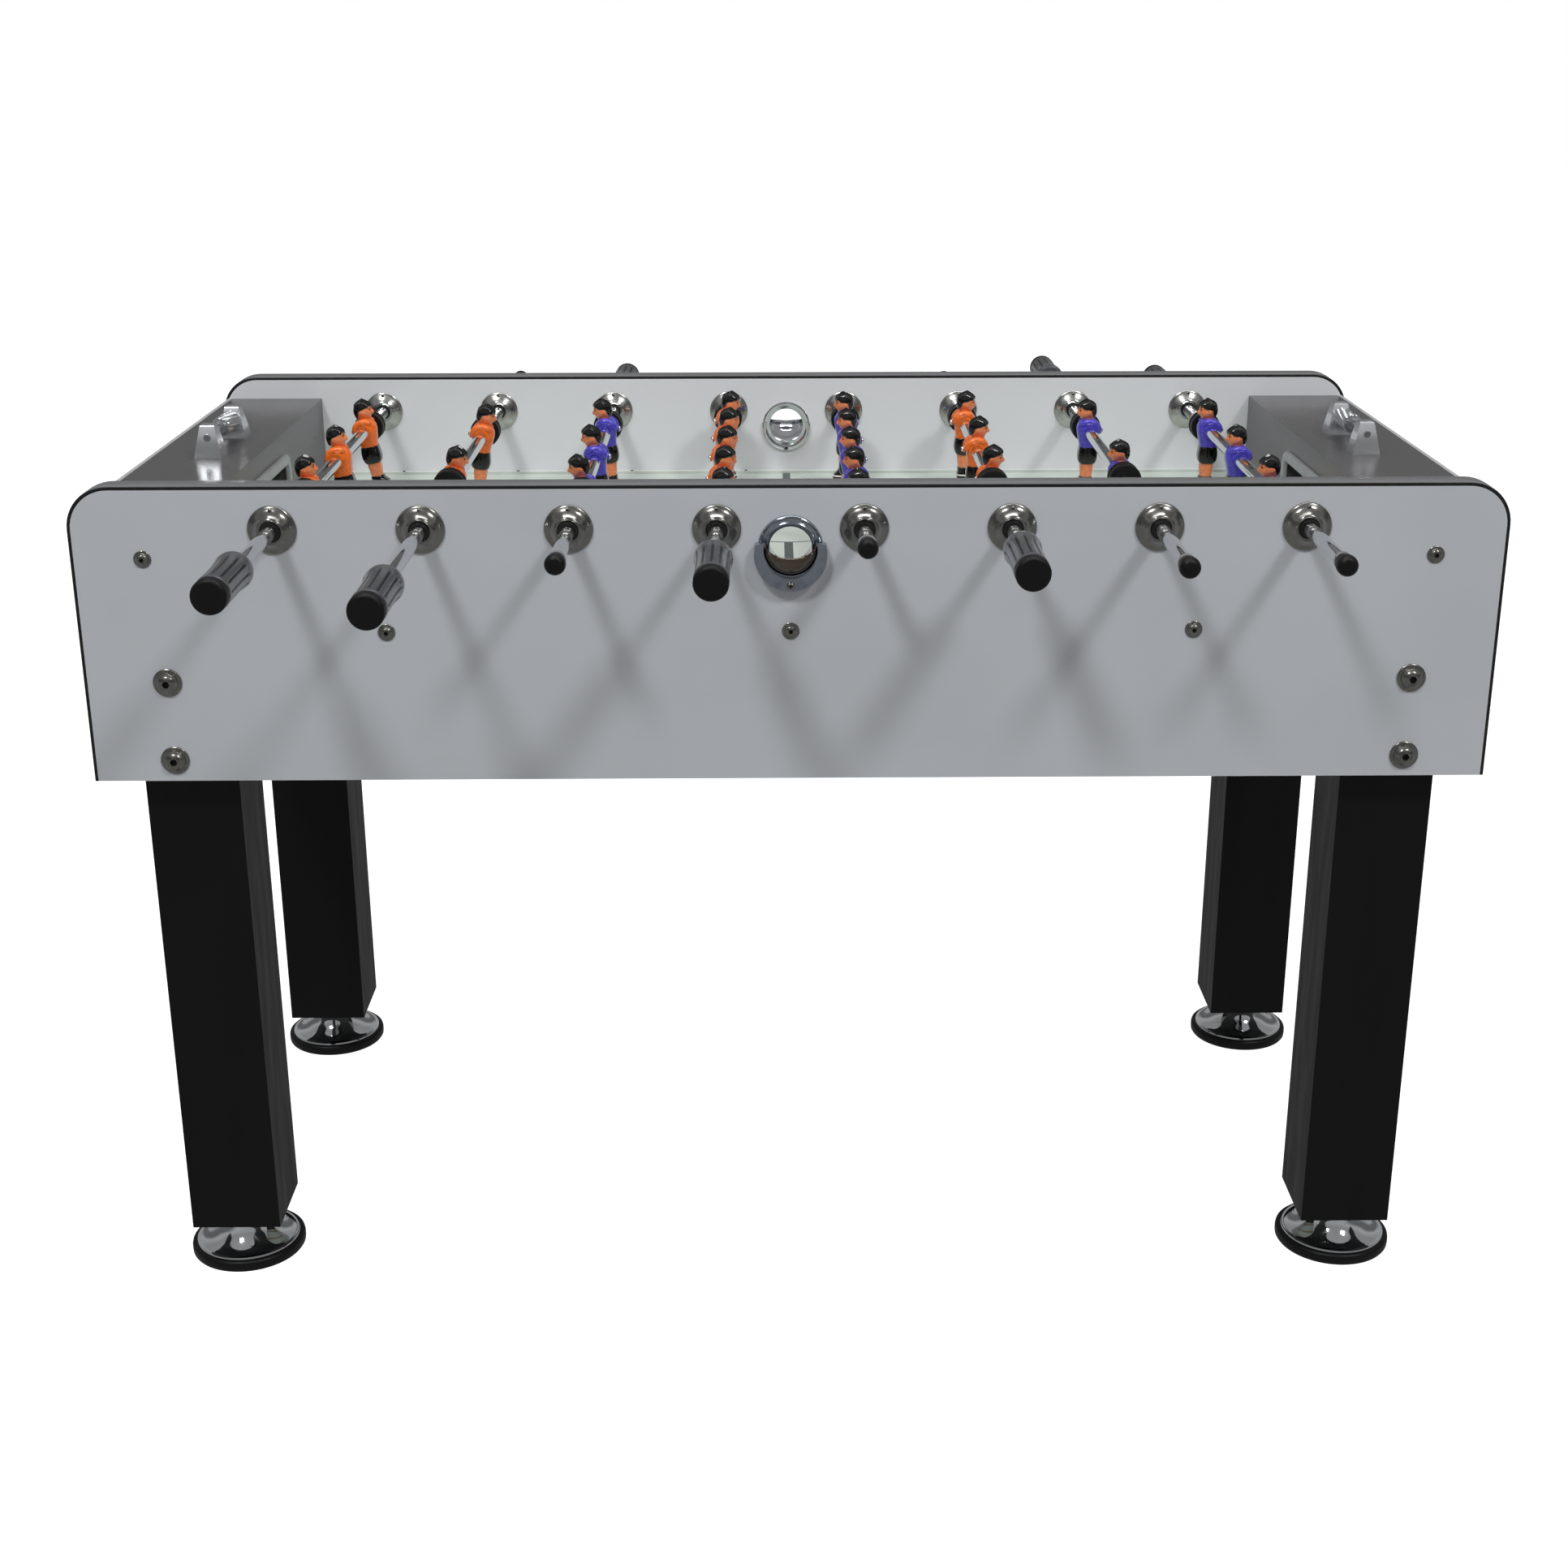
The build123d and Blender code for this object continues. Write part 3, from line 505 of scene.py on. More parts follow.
def end_strips():
    """A light strip let into the top of each end panel, and the black rim of its return slot."""
    build = Build()
    outer = high("end_panel_right").x
    for end in SIDES:
        x0, x1 = sorted((end * (outer - 5.2), end * (outer - 1)))
        build.block((x0, -PANEL_IN, SHELF_Z - 0.2), (x1, PANEL_IN, SHELF_Z + 0.5), bevel=0.2)
    build.piece("end_edge_strips", "cabinet", [STRIP_LIGHT], "edging")
    bezel = Build()
    half_w, half_h, width, slot_bottom, power = 95, 26, 9, 684, 0.25
    middle_z = slot_bottom + half_h
    for end in SIDES:
        rings = []
        for n in range(48):
            a = TURN * n / 48
            c, s = math.cos(a), math.sin(a)
            oy = math.copysign(abs(c) ** power, c)
            oz = math.copysign(abs(s) ** power, s)
            inner_y, inner_z = (half_w - 1.5) * oy, (half_h - 1.5) * oz
            outer_y, outer_z = (half_w + width) * oy, (half_h + width) * oz
            rings.append([(end * (outer - 6), inner_y, middle_z + inner_z),
                          (end * (outer + 1.6), inner_y * 1.004, middle_z + inner_z * 1.01),
                          (end * (outer + 2.4), inner_y * 1.02, middle_z + inner_z * 1.08),
                          (end * (outer + 2.0), outer_y - 2 * oy, middle_z + outer_z - 2 * oz),
                          (end * outer, outer_y, middle_z + outer_z)])
        bezel.loft(rings, loop=True)
    bezel.piece("return_slot_bezels", "cabinet", [NYLON], "black_nylon")


def legs():
    """Square posts with softened edges and an end cap round the stud."""
    for _, side_name in SIDE_NAMES:
        for _, end_name in END_NAMES:
            node = f"leg_{side_name}_{end_name}"
            a, b = low(node), high(node)
            build = Build()
            build.block((a.x, a.y, a.z + 1.5), tuple(b), bevel=3.0)
            build.block((a.x + 3, a.y + 3, a.z), (b.x - 3, b.y - 3, a.z + 2), slot=1, bevel=0.8)
            build.piece(f"{node}_post", "cabinet", [LEG_BLACK, NYLON], "leg_black", [node])


def feet():
    """Rubber pad with a rounded rim, plated cone with a rolled edge, lock nut and threaded stud."""
    pad = [(0, 0), (61, 0), (63.4, 0.6), (64.7, 2.4), (65, 5), (65, 9.5), (64.4, 12), (62.6, 13.6),
           (60, 14), (58.6, 13.2), (58.2, 11), (0, 11)]
    cone = [(0, 11), (58, 11), (59.4, 12.6), (59.6, 14.4), (58.8, 15.8), (57.2, 16.2)]
    cone += eased([(56, 15.8), (50, 17.6), (43, 22.2), (35, 30.5), (29.5, 39.5), (27.5, 43)], 4)
    cone += [(26, 44), (0, 44)]
    nut = [(0, 44), (12, 44, 6), (12.6, 44.8, 6), (12.6, 48.7, 6), (11.6, 49.5, 6), (0, 49.5)]
    stud_z, half_pitch = 49, 0.75
    thread = [(6.0 if n % 2 else 5.4, stud_z + n * half_pitch) for n in range(1, 74)]
    stud = [(0, stud_z)] + thread + [(0, 104.5)]
    for _, side_name in SIDE_NAMES:
        for _, end_name in END_NAMES:
            node = f"foot_{side_name}_{end_name}"
            middle = (low(node) + high(node)) / 2
            at = upright(middle.x, middle.y, 0)
            base = Build()
            base.lathe(pad, at, segments=96)
            base.piece(f"{node}_pad", f"{node}_body", [RUBBER], "black_rubber", [node])
            top = Build()
            top.lathe(cone, at, segments=96)
            top.lathe(nut, at, slot=1, segments=48)
            top.lathe(stud, at, slot=1, segments=24)
            top.piece(f"{node}_cone", f"{node}_body", [CHROME, BOLT], "foot_plated")


# ---- fittings ------------------------------------------------
def small_screw(build, at, r, slot, dark):
    """A pan-head screw with a cross recess, drawn as dark bars that paint in the recess's shade."""
    build.lathe([(0, -1), (r, -1), (r, 0.2 * r), (0.85 * r, 0.5 * r), (0.5 * r, 0.68 * r),
                 (0.3 * r, 0.7 * r), (0.2 * r, 0.45 * r), (0, 0.35 * r)], at, slot, segments=20)
    for turn in (0, math.pi / 2):
        build.block((-0.6 * r, -0.1 * r, 0.55 * r), (0.6 * r, 0.1 * r, 0.74 * r),
                    at @ Matrix.Rotation(turn, 4, "Z"), dark, bevel=0.02 * r)


def flanges():
    """Stepped plates round every rod, outside and inside, each over its bush, with a screw at the top."""
    outer = [(9.5, 0), (25, 0), (25, 1.4), (24.6, 2.3), (23.7, 2.9), (22.4, 3.4), (21.0, 4.1),
             (19.4, 5.2), (17.6, 6.9), (16.0, 8.7), (14.8, 10.3), (14.0, 11.3),
             (13.1, 11.9), (12.4, 12), (11.4, 11.6), (10.4, 10.4), (9.6, 9.4)]
    inner = [(9.5, 0), (24.5, 0), (24.5, 1.0), (23.8, 1.9), (22.4, 2.3), (21.6, 2.5), (19.5, 3.9),
             (16.5, 5.2), (14.2, 6.8), (13.0, 7.8), (12.2, 8), (11.3, 7.6), (10.3, 6.8), (9.6, 6.4)]
    screw_up, screw_r = 20.6, 2.2
    faces = (("outer", outer, OUTER_FLANGE_PAINTED_REFLECTION, PANEL_OUT, 1, 4.2), ("inner", inner, FLANGE_IN, PANEL_IN, -1, 3.4))
    for label, outline, finish, wall_y, outward, screw_h in faces:
        build = Build()
        for side in SIDES:
            for x in ROD_X:
                at = toward(x, side * wall_y, ROD_Z, side * outward)
                build.lathe(outline, at, segments=64)
                up = at.inverted() @ Vector((x, at.translation.y, ROD_Z + screw_up))
                small_screw(build, at @ Matrix.Translation((up.x, up.y, screw_h)), screw_r, 1, 2)
        build.piece(f"rod_flanges_{label}", "cabinet", [finish, BOLT, SOCKET_PAINTED_SHADE], "chrome",
                    ["rod_flanges"] if label == "inner" else [])
    bushes = Build()
    wall = PANEL_OUT - PANEL_IN
    bore = ROD_R + RUN
    section = [(bore, -wall - 7), (bore + 0.5, -wall - 7.2), (9.0, -wall - 7), (9.4, -wall - 6.4),
               (9.4, -wall), (12, -wall), (12, 0), (9.4, 0), (9.4, 9.8), (9.0, 10.5), (bore + 0.5, 10.6),
               (bore, 10.4)]
    for side in SIDES:
        for x in ROD_X:
            bushes.lathe(section, toward(x, side * PANEL_OUT, ROD_Z, side), segments=48, loop=True)
    bushes.piece("rod_bushes", "cabinet", [NYLON], "black_nylon", ["rod_bushings"])


def crescent(build, at, outer_r, outer_drop, inner_r, cut, base, rise, slot):
    """The lower part of a plate between two circles, cut level at a height, with rounded edges.

    Local -Y is down."""
    steps = 40
    spread = math.acos(-(cut + outer_drop) / outer_r)
    rings = []
    for n in range(steps + 1):
        a = -math.pi / 2 + (n / steps - 0.5) * 2 * spread
        direction = Vector((math.cos(a), math.sin(a)))
        outer = Vector((outer_r * direction.x, outer_r * direction.y - outer_drop))
        inner = Vector((inner_r * direction.x, inner_r * direction.y))
        width = (outer - inner).length
        across = (outer - inner) / width
        soft = min(2.2, width * 0.3)
        profile = [(0, base), (0, rise - soft), (soft * 0.3, rise - soft * 0.3), (soft, rise),
                   (width - soft, rise), (width - soft * 0.3, rise - soft * 0.3), (width, rise - soft),
                   (width, base)]
        rings.append([(inner.x + across.x * w, inner.y + across.y * w, h) for w, h in profile])
    build.loft(rings, at, slot)


def entry_cup(build, at, slot):
    """The quarter of a ball's shell that the ball is dropped into, with a rolled rim. Local -Y is down."""
    outer_r, inner_r, out, rim, roll = 27, 25.2, 5, 3.0, 1.5
    level_count, turn_count, rim_dip = 20, 48, 9
    top = math.asin(rim / outer_r)
    levels = [top + (math.radians(-89) - top) * n / level_count for n in range(level_count + 1)]
    shell = [(outer_r * math.cos(a), outer_r * math.sin(a)) for a in levels]
    shell += [(inner_r * math.cos(a), inner_r * math.sin(a)) for a in reversed(levels)]
    middle = (outer_r + inner_r) / 2 * math.cos(top)
    shell += [(middle + roll * math.cos(a), rim + 0.2 + roll * math.sin(a))
              for a in (math.radians(200 - 40 * n) for n in range(6))]
    rings = [[(x, y, 0) for x, y in shell]]
    for n in range(turn_count + 1):
        turn = math.pi * n / turn_count
        dip = rim_dip * math.sin(turn)
        rings.append([(x * math.cos(turn), y - dip * max(0, (y + 12) / 16), out + x * math.sin(turn))
                      for x, y in shell])
    rings.append([(-x, y, 0) for x, y in shell])
    build.loft(rings, at, slot)


def ball_entries():
    """A sleeve and ring through each side panel, a cup outside it and a crescent lip on both faces."""
    wall, bore = PANEL_OUT - PANEL_IN, 21.75
    tube = [(bore, -wall - 3), (24.8, -wall - 3), (24.8, 3), (bore, 3)]
    ring = [(bore, 0), (33, 0), (33, 2.2), (32.2, 3.4), (31, 3.8), (29.6, 3.2), (27.6, 3.0), (26.8, 3.6),
            (25.4, 4.8), (23.4, 5), (22.2, 4.2), (bore, 3)]
    ring_in = [(bore, 0), (30.5, 0), (30.5, 1.6), (29.4, 2.8), (27.2, 3), (25.4, 2.6), (23.6, 3),
               (22.2, 2.6), (bore, 1.6)]
    for side, name in SIDE_NAMES:
        build = Build()
        out = toward(0, side * PANEL_OUT, ENTRY_Z, side)
        into = toward(0, side * PANEL_IN, ENTRY_Z, -side)
        # both are turned so that local -Y points down
        out_down = out @ Matrix.Rotation(0 if side < 0 else math.pi, 4, "Z")
        in_down = into @ Matrix.Rotation(0 if side > 0 else math.pi, 4, "Z")
        build.lathe(tube, out, segments=96, loop=True)
        # the ring and the outer lip take the darker chrome, a painted reflection
        build.lathe(ring, out, slot=1, segments=96, loop=True)
        build.lathe(ring_in, into, segments=96, loop=True)
        crescent(build, out_down, 37.5, 6.2, 26.5, 4.5, 0, 13.5, 1)
        # the front cup is drawn in the brown painted reflection and the rear cup in plain chrome
        entry_cup(build, out_down, 4 if side < 0 else 0)
        crescent(build, in_down, 31.8, 1.2, 25.5, 4, 0, 4.6, 0)
        small_screw(build, out_down @ Matrix.Translation((0, -37.5, 13.3)), 4.0, 2, 3)
        small_screw(build, in_down @ Matrix.Translation((0, -29.4, 4.5)), 1.7, 3, 3)
        build.piece(f"ball_entry_{name}", "cabinet", [CHROME, CHROME_PAINTED_DARK_REFLECTION, BOLT, SOCKET_PAINTED_SHADE, CUP_PAINTED_REFLECTION], "chrome",
                    ["ball_entries"] if side < 0 else [])


def bolts():
    """Domed bolts on washers: large ones into the legs and small ones into the beams and cleats."""
    def bolt(build, at, r, h, socket_r):
        washer = [(0, 0), (r, 0), (r, 0.10 * r), (0.94 * r, 0.15 * r), (0.8 * r, 0.16 * r), (0, 0.16 * r)]
        build.lathe(washer, at, segments=48)
        dome = eased([(0.76 * r, 0.15 * r), (0.72 * r, 0.5 * h), (0.55 * r, 0.82 * h),
                      (0.36 * r, 0.97 * h)], 4)
        head = [(0, 0.1 * r), (0.76 * r, 0.1 * r)] + dome
        head += [(socket_r * 1.12, h), (socket_r, 0.97 * h, 6), (socket_r, 0.5 * h, 6), (0, 0.45 * h)]
        build.lathe(head, at, segments=48)
        inset = socket_r * 0.95
        # a dark disc over the socket's floor: painted shade in the recess
        build.lathe([(0, 0.52 * h), (inset, 0.52 * h, 6), (inset, 0.54 * h, 6), (0, 0.54 * h)], at, slot=1,
                    segments=48)

    large, large_r = Build(), 15
    a, b = low("leg_bolts"), high("leg_bolts")
    for side in SIDES:
        for x in (a.x + large_r, b.x - large_r):
            for z in (a.z + large_r, b.z - large_r):
                bolt(large, toward(x, side * PANEL_OUT, z, side), large_r, 9, 4)
    large.piece("leg_bolt_heads", "cabinet", [BOLT, SOCKET_PAINTED_SHADE], "chrome", ["leg_bolts"])
    small, small_r = Build(), 9
    cleat_x, cleat_z = high("panel_bolts").x - small_r, 847
    beam_x, beam_z = 416, 769
    places = [(-cleat_x, cleat_z), (cleat_x, cleat_z), (-beam_x, beam_z), (0, beam_z), (beam_x, beam_z)]
    for side in SIDES:
        for x, z in places:
            bolt(small, toward(x, side * PANEL_OUT, z, side), small_r, 5, 2.5)
    small.piece("panel_bolt_heads", "cabinet", [BOLT, SOCKET_PAINTED_SHADE], "chrome", ["panel_bolts"])


# ---- scoring -------------------------------------------------
def score_posts():
    """Tapered posts with softened edges, and the wire between them."""
    foot_half, shoulder_half, tip_half = 15.5, 8.2, 7.2
    centre_x, centre_y = high("score_stands").x - foot_half, high("score_stands").y - foot_half
    wire_z = SHELF_Z + 23
    build = Build()
    for end in SIDES:
        for side in SIDES:
            start = len(build.bm.verts)
            levels = [(SHELF_Z, foot_half), (SHELF_Z + 1.5, foot_half), (SHELF_Z + 36, shoulder_half),
                      (SHELF_Z + 37, tip_half)]
            rings = [[(sx * w, sy * w, z) for sx, sy in ((-1, -1), (1, -1), (1, 1), (-1, 1))]
                     for z, w in levels]
            build.loft(rings, upright(end * centre_x, side * centre_y, 0))
            build.round_edges(start, 0.8)
            for face in SIDES:
                build.lathe([(0, 0), (4.4, 0), (4.4, 1.6), (3.6, 2.4), (0, 2.4)],
                            toward(end * centre_x, side * centre_y + face * 9.6, wire_z, face), slot=1,
                            segments=24)
        build.lathe([(0, 0), (3, 0), (3, 2 * centre_y), (0, 2 * centre_y)],
                    toward(end * centre_x, -centre_y, wire_z, 1), slot=1, segments=24)
    build.piece("score_posts", "cabinet", [POST, CHROME], "chrome", ["score_stands"])


def score_beads():
    """Ten fluted beads on each wire, plated."""
    count, thick, bore = 10, 4.9, 3.08
    outline = [(bore, 0), (9.2, 0), (10.6, 0.35), (11.3, 1.2), (11.5, 2.45), (11.3, 3.7), (10.6, 4.55),
               (9.2, thick), (bore, thick)]

    def lobes(a, h):
        return 1 - 0.10 * (0.5 + 0.5 * math.cos(9 * a)) ** 3

    for _, name in END_NAMES:
        node = f"score_beads_{name}"
        a, b = low(node), high(node)
        build = Build()
        pitch = (b.y - a.y - thick) / (count - 1)
        for n in range(count):
            at = toward((a.x + b.x) / 2, a.y + n * pitch, (a.z + b.z) / 2, 1)
            at = at @ Matrix.Rotation(0.09 * n, 4, "Z")
            build.lathe(outline, at, segments=72, wave=lobes, loop=True)
        build.piece(f"{node}_fluted", f"beads_{name}", [CHROME], "chrome", [node])


# ---- men -----------------------------------------------------
SHIRT_SLOT, DARK_SLOT, SKIN_SLOT, LINE_SLOT = range(4)
HEAD_AT = Vector((2.0, 0, 24.0))
HEAD_TILT = math.radians(6)


def bump(p, at, size, height):
    """How far a soft bump or dent at a place moves a point."""
    return height * math.exp(-sum(((p[k] - at[k]) / size[k]) ** 2 for k in range(3)))


def face_of(p):
    """Shapes an ellipsoid into a head that looks along +X, with brow, eyes, nose, lips, chin and ears."""
    narrow = 1 - 0.14 * max(0.0, min(1.0, (-p.z - 2) / 10)) ** 1.2
    q = Vector((p.x, p.y * narrow, p.z))
    out = bump(q, (10.5, 0, -0.6), (6, 1.9, 2.9), 2.9) + bump(q, (11, 0, -2.4), (6, 2.2, 1.3), 0.9)
    out += bump(q, (10, 0, 4.6), (6, 6.5, 1.5), 0.7) + bump(q, (9, 0, -9.3), (5, 3.6, 2.4), 1.5)
    out += bump(q, (10, 0, -5.2), (6, 3.2, 0.8), 0.7) + bump(q, (10, 0, -6.9), (6, 2.8, 0.8), 0.6)
    out -= bump(q, (10, 0, -6.05), (6, 3.4, 0.5), 0.7)
    for side in SIDES:
        out -= bump(q, (9.4, side * 3.9, 2.2), (6, 2.0, 1.7), 1.1)
        out += bump(q, (8, side * 6.2, -3.4), (5, 2.8, 3), 0.6)
    q.x += out
    for side in SIDES:
        ear = bump(q, (-1.2, side * 10, -0.6), (2.5, 4, 3.3), 1.9)
        ear -= bump(q, (-0.6, side * 10, -0.4), (1.2, 4, 1.7), 0.9)
        q.y += side * ear
    return q


def hair_of(p):
    """The hair's shell: outside the head above the hairline, and hidden inside it below."""
    front = max(0.0, min(1.0, (p.x + 4) / 13))
    line = 0.6 + 5.6 * front ** 1.3 if p.x > -4 else 0.6 - 12.5 * min(1.0, (-4 - p.x) / 5.5) ** 0.8
    line += 0.9 * math.sin(p.y * 1.25) * front
    over = 1 / (1 + math.exp(-(p.z - line) * 4.5))
    crown = max(0.0, p.z / 12)
    tufts = 0.15 * (1 - abs(math.sin(p.y * 0.5 + 0.035 * p.x))) * crown
    tufts += 0.11 * (1 - abs(math.sin(p.x * 0.36 + 0.12 * abs(p.y)))) * crown
    fringe = 0.06 * front * crown
    return p * (0.9 + over * (0.19 + tufts + fringe))


def body_rings(rows, pinch=0.0):
    """Rings from rows of height, centre, half depth, half width and squareness."""
    return [superellipse(cx, hx, hy, z, power, pinch=pinch) for z, cx, hx, hy, power in eased(rows, 4)]


def sleeve_rings(side):
    """A short sleeve that arches over the rod from the chest to the back."""
    rings, steps, count = [], 18, 20
    for n in range(steps + 1):
        t = n / steps
        a = math.radians(35 + 150 * t)
        reach = 12.4 - 0.8 * t
        across = side * (10.6 + 1.2 * math.sin(math.pi * t))
        centre = Vector((reach * math.cos(a), across, reach * math.sin(a)))
        fat = 4.7 * (1 - (2 * t - 1) ** 6) ** 0.5 + 0.05
        flat = Vector((math.cos(a), 0, math.sin(a)))
        ring = []
        for j in range(count):
            b = TURN * j / count
            ring.append(centre + flat * fat * 0.86 * math.cos(b) + Vector((0, fat * 1.05 * math.sin(b), 0)))
        rings.append(ring)
    return rings


def man_mesh():
    """A moulded player who looks along +X, in millimetres from the rod's axis."""
    build = Build()
    torso = [(-20.5, 0, 8.6, 10.4, 2.6), (-20, 0.2, 10.4, 12.0, 2.7), (-16, 0.3, 10.9, 12.4, 2.7),
             (-8, 0.7, 12.2, 13.3, 2.7), (0, 0.9, 13.6, 14.2, 2.6), (6, 0.6, 13.6, 14.2, 2.5),
             (10, 0.6, 11.6, 13.2, 2.4), (12.6, 0.8, 8.6, 10.4, 2.3), (14.2, 1.2, 6.4, 7.4, 2.2)]
    build.loft(body_rings(torso), slot=SHIRT_SLOT)
    collar = [(12.6, 1.2, 7.4, 7.6, 2.1), (13.8, 1.3, 7.7, 7.8, 2.1), (14.8, 1.4, 7.0, 7.1, 2.1)]
    build.loft(body_rings(collar), slot=SHIRT_SLOT)
    for side in SIDES:
        build.loft(sleeve_rings(side), slot=SHIRT_SLOT)
    shorts = [(-19.4, 0, 8.8, 10.8, 2.7), (-19.9, 0, 10.9, 12.4, 2.7), (-21, 0, 11.3, 12.9, 2.7),
              (-27, 0, 12.3, 13.4, 2.6), (-33, 0.2, 12.5, 13.4, 2.6), (-38, 0.4, 11.4, 12.6, 2.6),
              (-40.4, 0.4, 9.8, 11.4, 2.6), (-41, 0.4, 8.0, 9.6, 2.6)]
    build.loft(body_rings(shorts, pinch=0.07), slot=DARK_SLOT)
    legs = [(-39, 0.4, 8.4, 9.8, 2.6), (-46, 0.8, 8.5, 9.6, 2.6), (-52, 0.9, 8.0, 9.1, 2.6),
            (-57, 1.0, 7.2, 8.7, 2.6), (-60, 1.2, 7.0, 8.6, 2.6)]
    build.loft(body_rings(legs, pinch=0.17), slot=SKIN_SLOT)
    boots = [(-57.2, 1.1, 7.4, 9.0, 2.6), (-58.2, 1.2, 8.4, 9.9, 2.6), (-61, 1.8, 8.9, 10.3, 2.6),
             (-64.5, 3.4, 11.0, 10.7, 2.7), (-68, 4.3, 12.5, 11.2, 2.8), (-70.6, 4.1, 12.0, 11.2, 2.9),
             (-71.8, 3.4, 10.6, 10.4, 2.9), (-72, 3.2, 9.6, 9.8, 2.9)]
    build.loft(body_rings(boots, pinch=0.05), slot=DARK_SLOT)
    line = [(-66.0, 3.9, 11.9, 11.15, 2.75), (-66.5, 4.0, 12.25, 11.35, 2.75),
            (-67.2, 4.1, 12.5, 11.45, 2.75), (-67.7, 4.15, 12.45, 11.3, 2.75)]
    build.loft(body_rings(line), slot=LINE_SLOT)

    tilt = Matrix.Translation(HEAD_AT) @ Matrix.Rotation(HEAD_TILT, 4, "Y")
    build.loft(ellipsoid((10.6, 9.6, 11.6), face_of, 40, 48), tilt, SKIN_SLOT)
    build.loft(ellipsoid((10.9, 9.9, 11.8), hair_of, 44, 64), tilt, DARK_SLOT)
    neck = [(9, 0.8, 6.4, 6.6, 2), (13, 1.0, 6.2, 6.4, 2), (18, 1.6, 6.4, 6.6, 2)]
    build.loft(body_rings(neck), slot=SKIN_SLOT)
    for side in SIDES:
        # painted shade: these dark eyes stand in for the shade in the eye sockets
        eye_shade_at = tilt @ Matrix.Translation((9.0, side * 3.7, 2.1))
        build.loft(ellipsoid((0.8, 1.25, 0.8), None, 8, 12), eye_shade_at, DARK_SLOT)
        brow = tilt @ Matrix.Translation((10.0, side * 3.8, 4.7)) @ Matrix.Rotation(side * 0.2, 4, "X")
        build.loft(ellipsoid((0.7, 2.1, 0.45), None, 8, 12), brow, DARK_SLOT)
    hub_r = ROD_R + 0.03
    hub = [(0, 0), (hub_r, 0), (9.4, 0), (9.6, 0.8), (9.2, 1.6), (hub_r, 1.8), (0, 1.8)]
    for side in reversed(SIDES):
        build.lathe(hub, toward(0, side * 13.4, 0, side), SHIRT_SLOT, 32)
    build.lathe([(0, 0), (4.2, 0), (4.4, 2.0), (3.6, 2.6), (0, 2.6)],
                Matrix.Translation((-13.4, 0, 0)) @ Matrix.Rotation(-math.pi / 2, 4, "Y"), SHIRT_SLOT, 24)
    return build.mesh("man_pattern", 50)


def men_ys(i):
    """Where the men of rod i stand along it."""
    node = f"{ROD_NAMES[i]}_men"
    first, last = low(node).y + SHIRT_HALF, high(node).y - SHIRT_HALF
    return [first + (last - first) * n / (MEN_COUNT[i] - 1) for n in range(MEN_COUNT[i])]


def leaning(i, y):
    """The place of a man on rod i, swung with the rod."""
    return upright(ROD_X[i], y, ROD_Z) @ Matrix.Rotation(-LEAN[i], 4, "Y")


def men():
    """One pattern stamped along each rod: orange men look right and blue men look left."""
    pattern = man_mesh()
    for i, name in enumerate(ROD_NAMES):
        front_handle = HANDLE_SIDE[i] < 0
        facing = 0 if front_handle else math.pi
        shirt = ORANGE if front_handle else BLUE
        build = Build()
        for y in men_ys(i):
            build.stamp(pattern, leaning(i, y) @ Matrix.Rotation(facing, 4, "Z"))
        build.piece(f"{name}_players", name, [shirt, BLACK_GLOSS, SKIN, BOOT_LINE],
                    "men_orange" if front_handle else "men_blue", [f"{name}_men"], sharp=50)
    bpy.data.meshes.remove(pattern)


# ---- rods ----------------------------------------------------
def tubes():
    """Plated tubes with open rolled ends, and the screw through each man's back."""
    for i, name in enumerate(ROD_NAMES):
        y0, y1 = TUBE_LOW[i].y, TUBE_HIGH[i].y
        build = Build()
        length = y1 - y0
        build.lathe([(5.5, 0), (7.1, 0), (ROD_R, 0.5), (ROD_R, length * 0.5), (ROD_R, length - 0.5),
                     (7.1, length), (5.5, length)], toward(ROD_X[i], y0, ROD_Z, 1), segments=64, loop=True)
        back = HANDLE_SIDE[i]
        for y in men_ys(i):
            at = leaning(i, y) @ Matrix.Translation((back * 15.8, 0, 0))
            at = at @ Matrix.Rotation(back * math.pi / 2, 4, "Y")
            small_screw(build, at, 3.1, 1, 2)
        build.piece(f"{name}_plated_tube", name, [CHROME, CHROME, SOCKET_PAINTED_SHADE], "chrome", [f"{name}_tube"])


def handles():
    """A waisted grip with twelve grooves between a collar and a flat cap."""
    length, cap, groove_count = 105, 14, 12
    grip_l = length - cap
    body = eased([(19, 8), (18.7, 13), (17.8, 22), (17.1, 36), (16.9, 50), (16.9, 66), (17.1, 80),
                  (17.2, 88)], 6)
    outline = [(0, 0), (9.5, 0), (15, 0.3), (17.6, 1.4), (18.8, 4)] + body
    outline += [(16.9, grip_l - 1), (16.2, grip_l), (0, grip_l)]

    def ribs(a, h):
        fade = max(0.0, min(1.0, (h - 12) / 8)) * max(0.0, min(1.0, (86 - h) / 4))
        groove = max(0.0, math.cos(groove_count * a)) ** 5
        return 1 - 0.16 * groove * fade

    plug_r = 17
    plug = [(0, -0.2), (16.2, -0.2), (16.9, 0.6), (plug_r, 2), (plug_r, 2.6), (16.4, 3.0), (plug_r, 3.5),
            (plug_r, 10.4), (16.6, 12.2), (15.4, 13.5), (13.4, 13.9), (6, 13.75), (0, 13.7)]
    for i, name in enumerate(ROD_NAMES):
        side = HANDLE_SIDE[i]
        node = f"{name}_handle"
        start = low(node).y if side > 0 else high(node).y
        build = Build()
        build.lathe(outline, toward(ROD_X[i], start, ROD_Z, side), segments=144, wave=ribs)
        build.piece(f"{name}_grip", name, [GRIP], "grip_smoke", [node])
        end = Build()
        end.lathe(plug, toward(ROD_X[i], start + side * grip_l, ROD_Z, side), segments=64)
        end.piece(f"{name}_grip_cap", name, [RUBBER], "black_rubber")


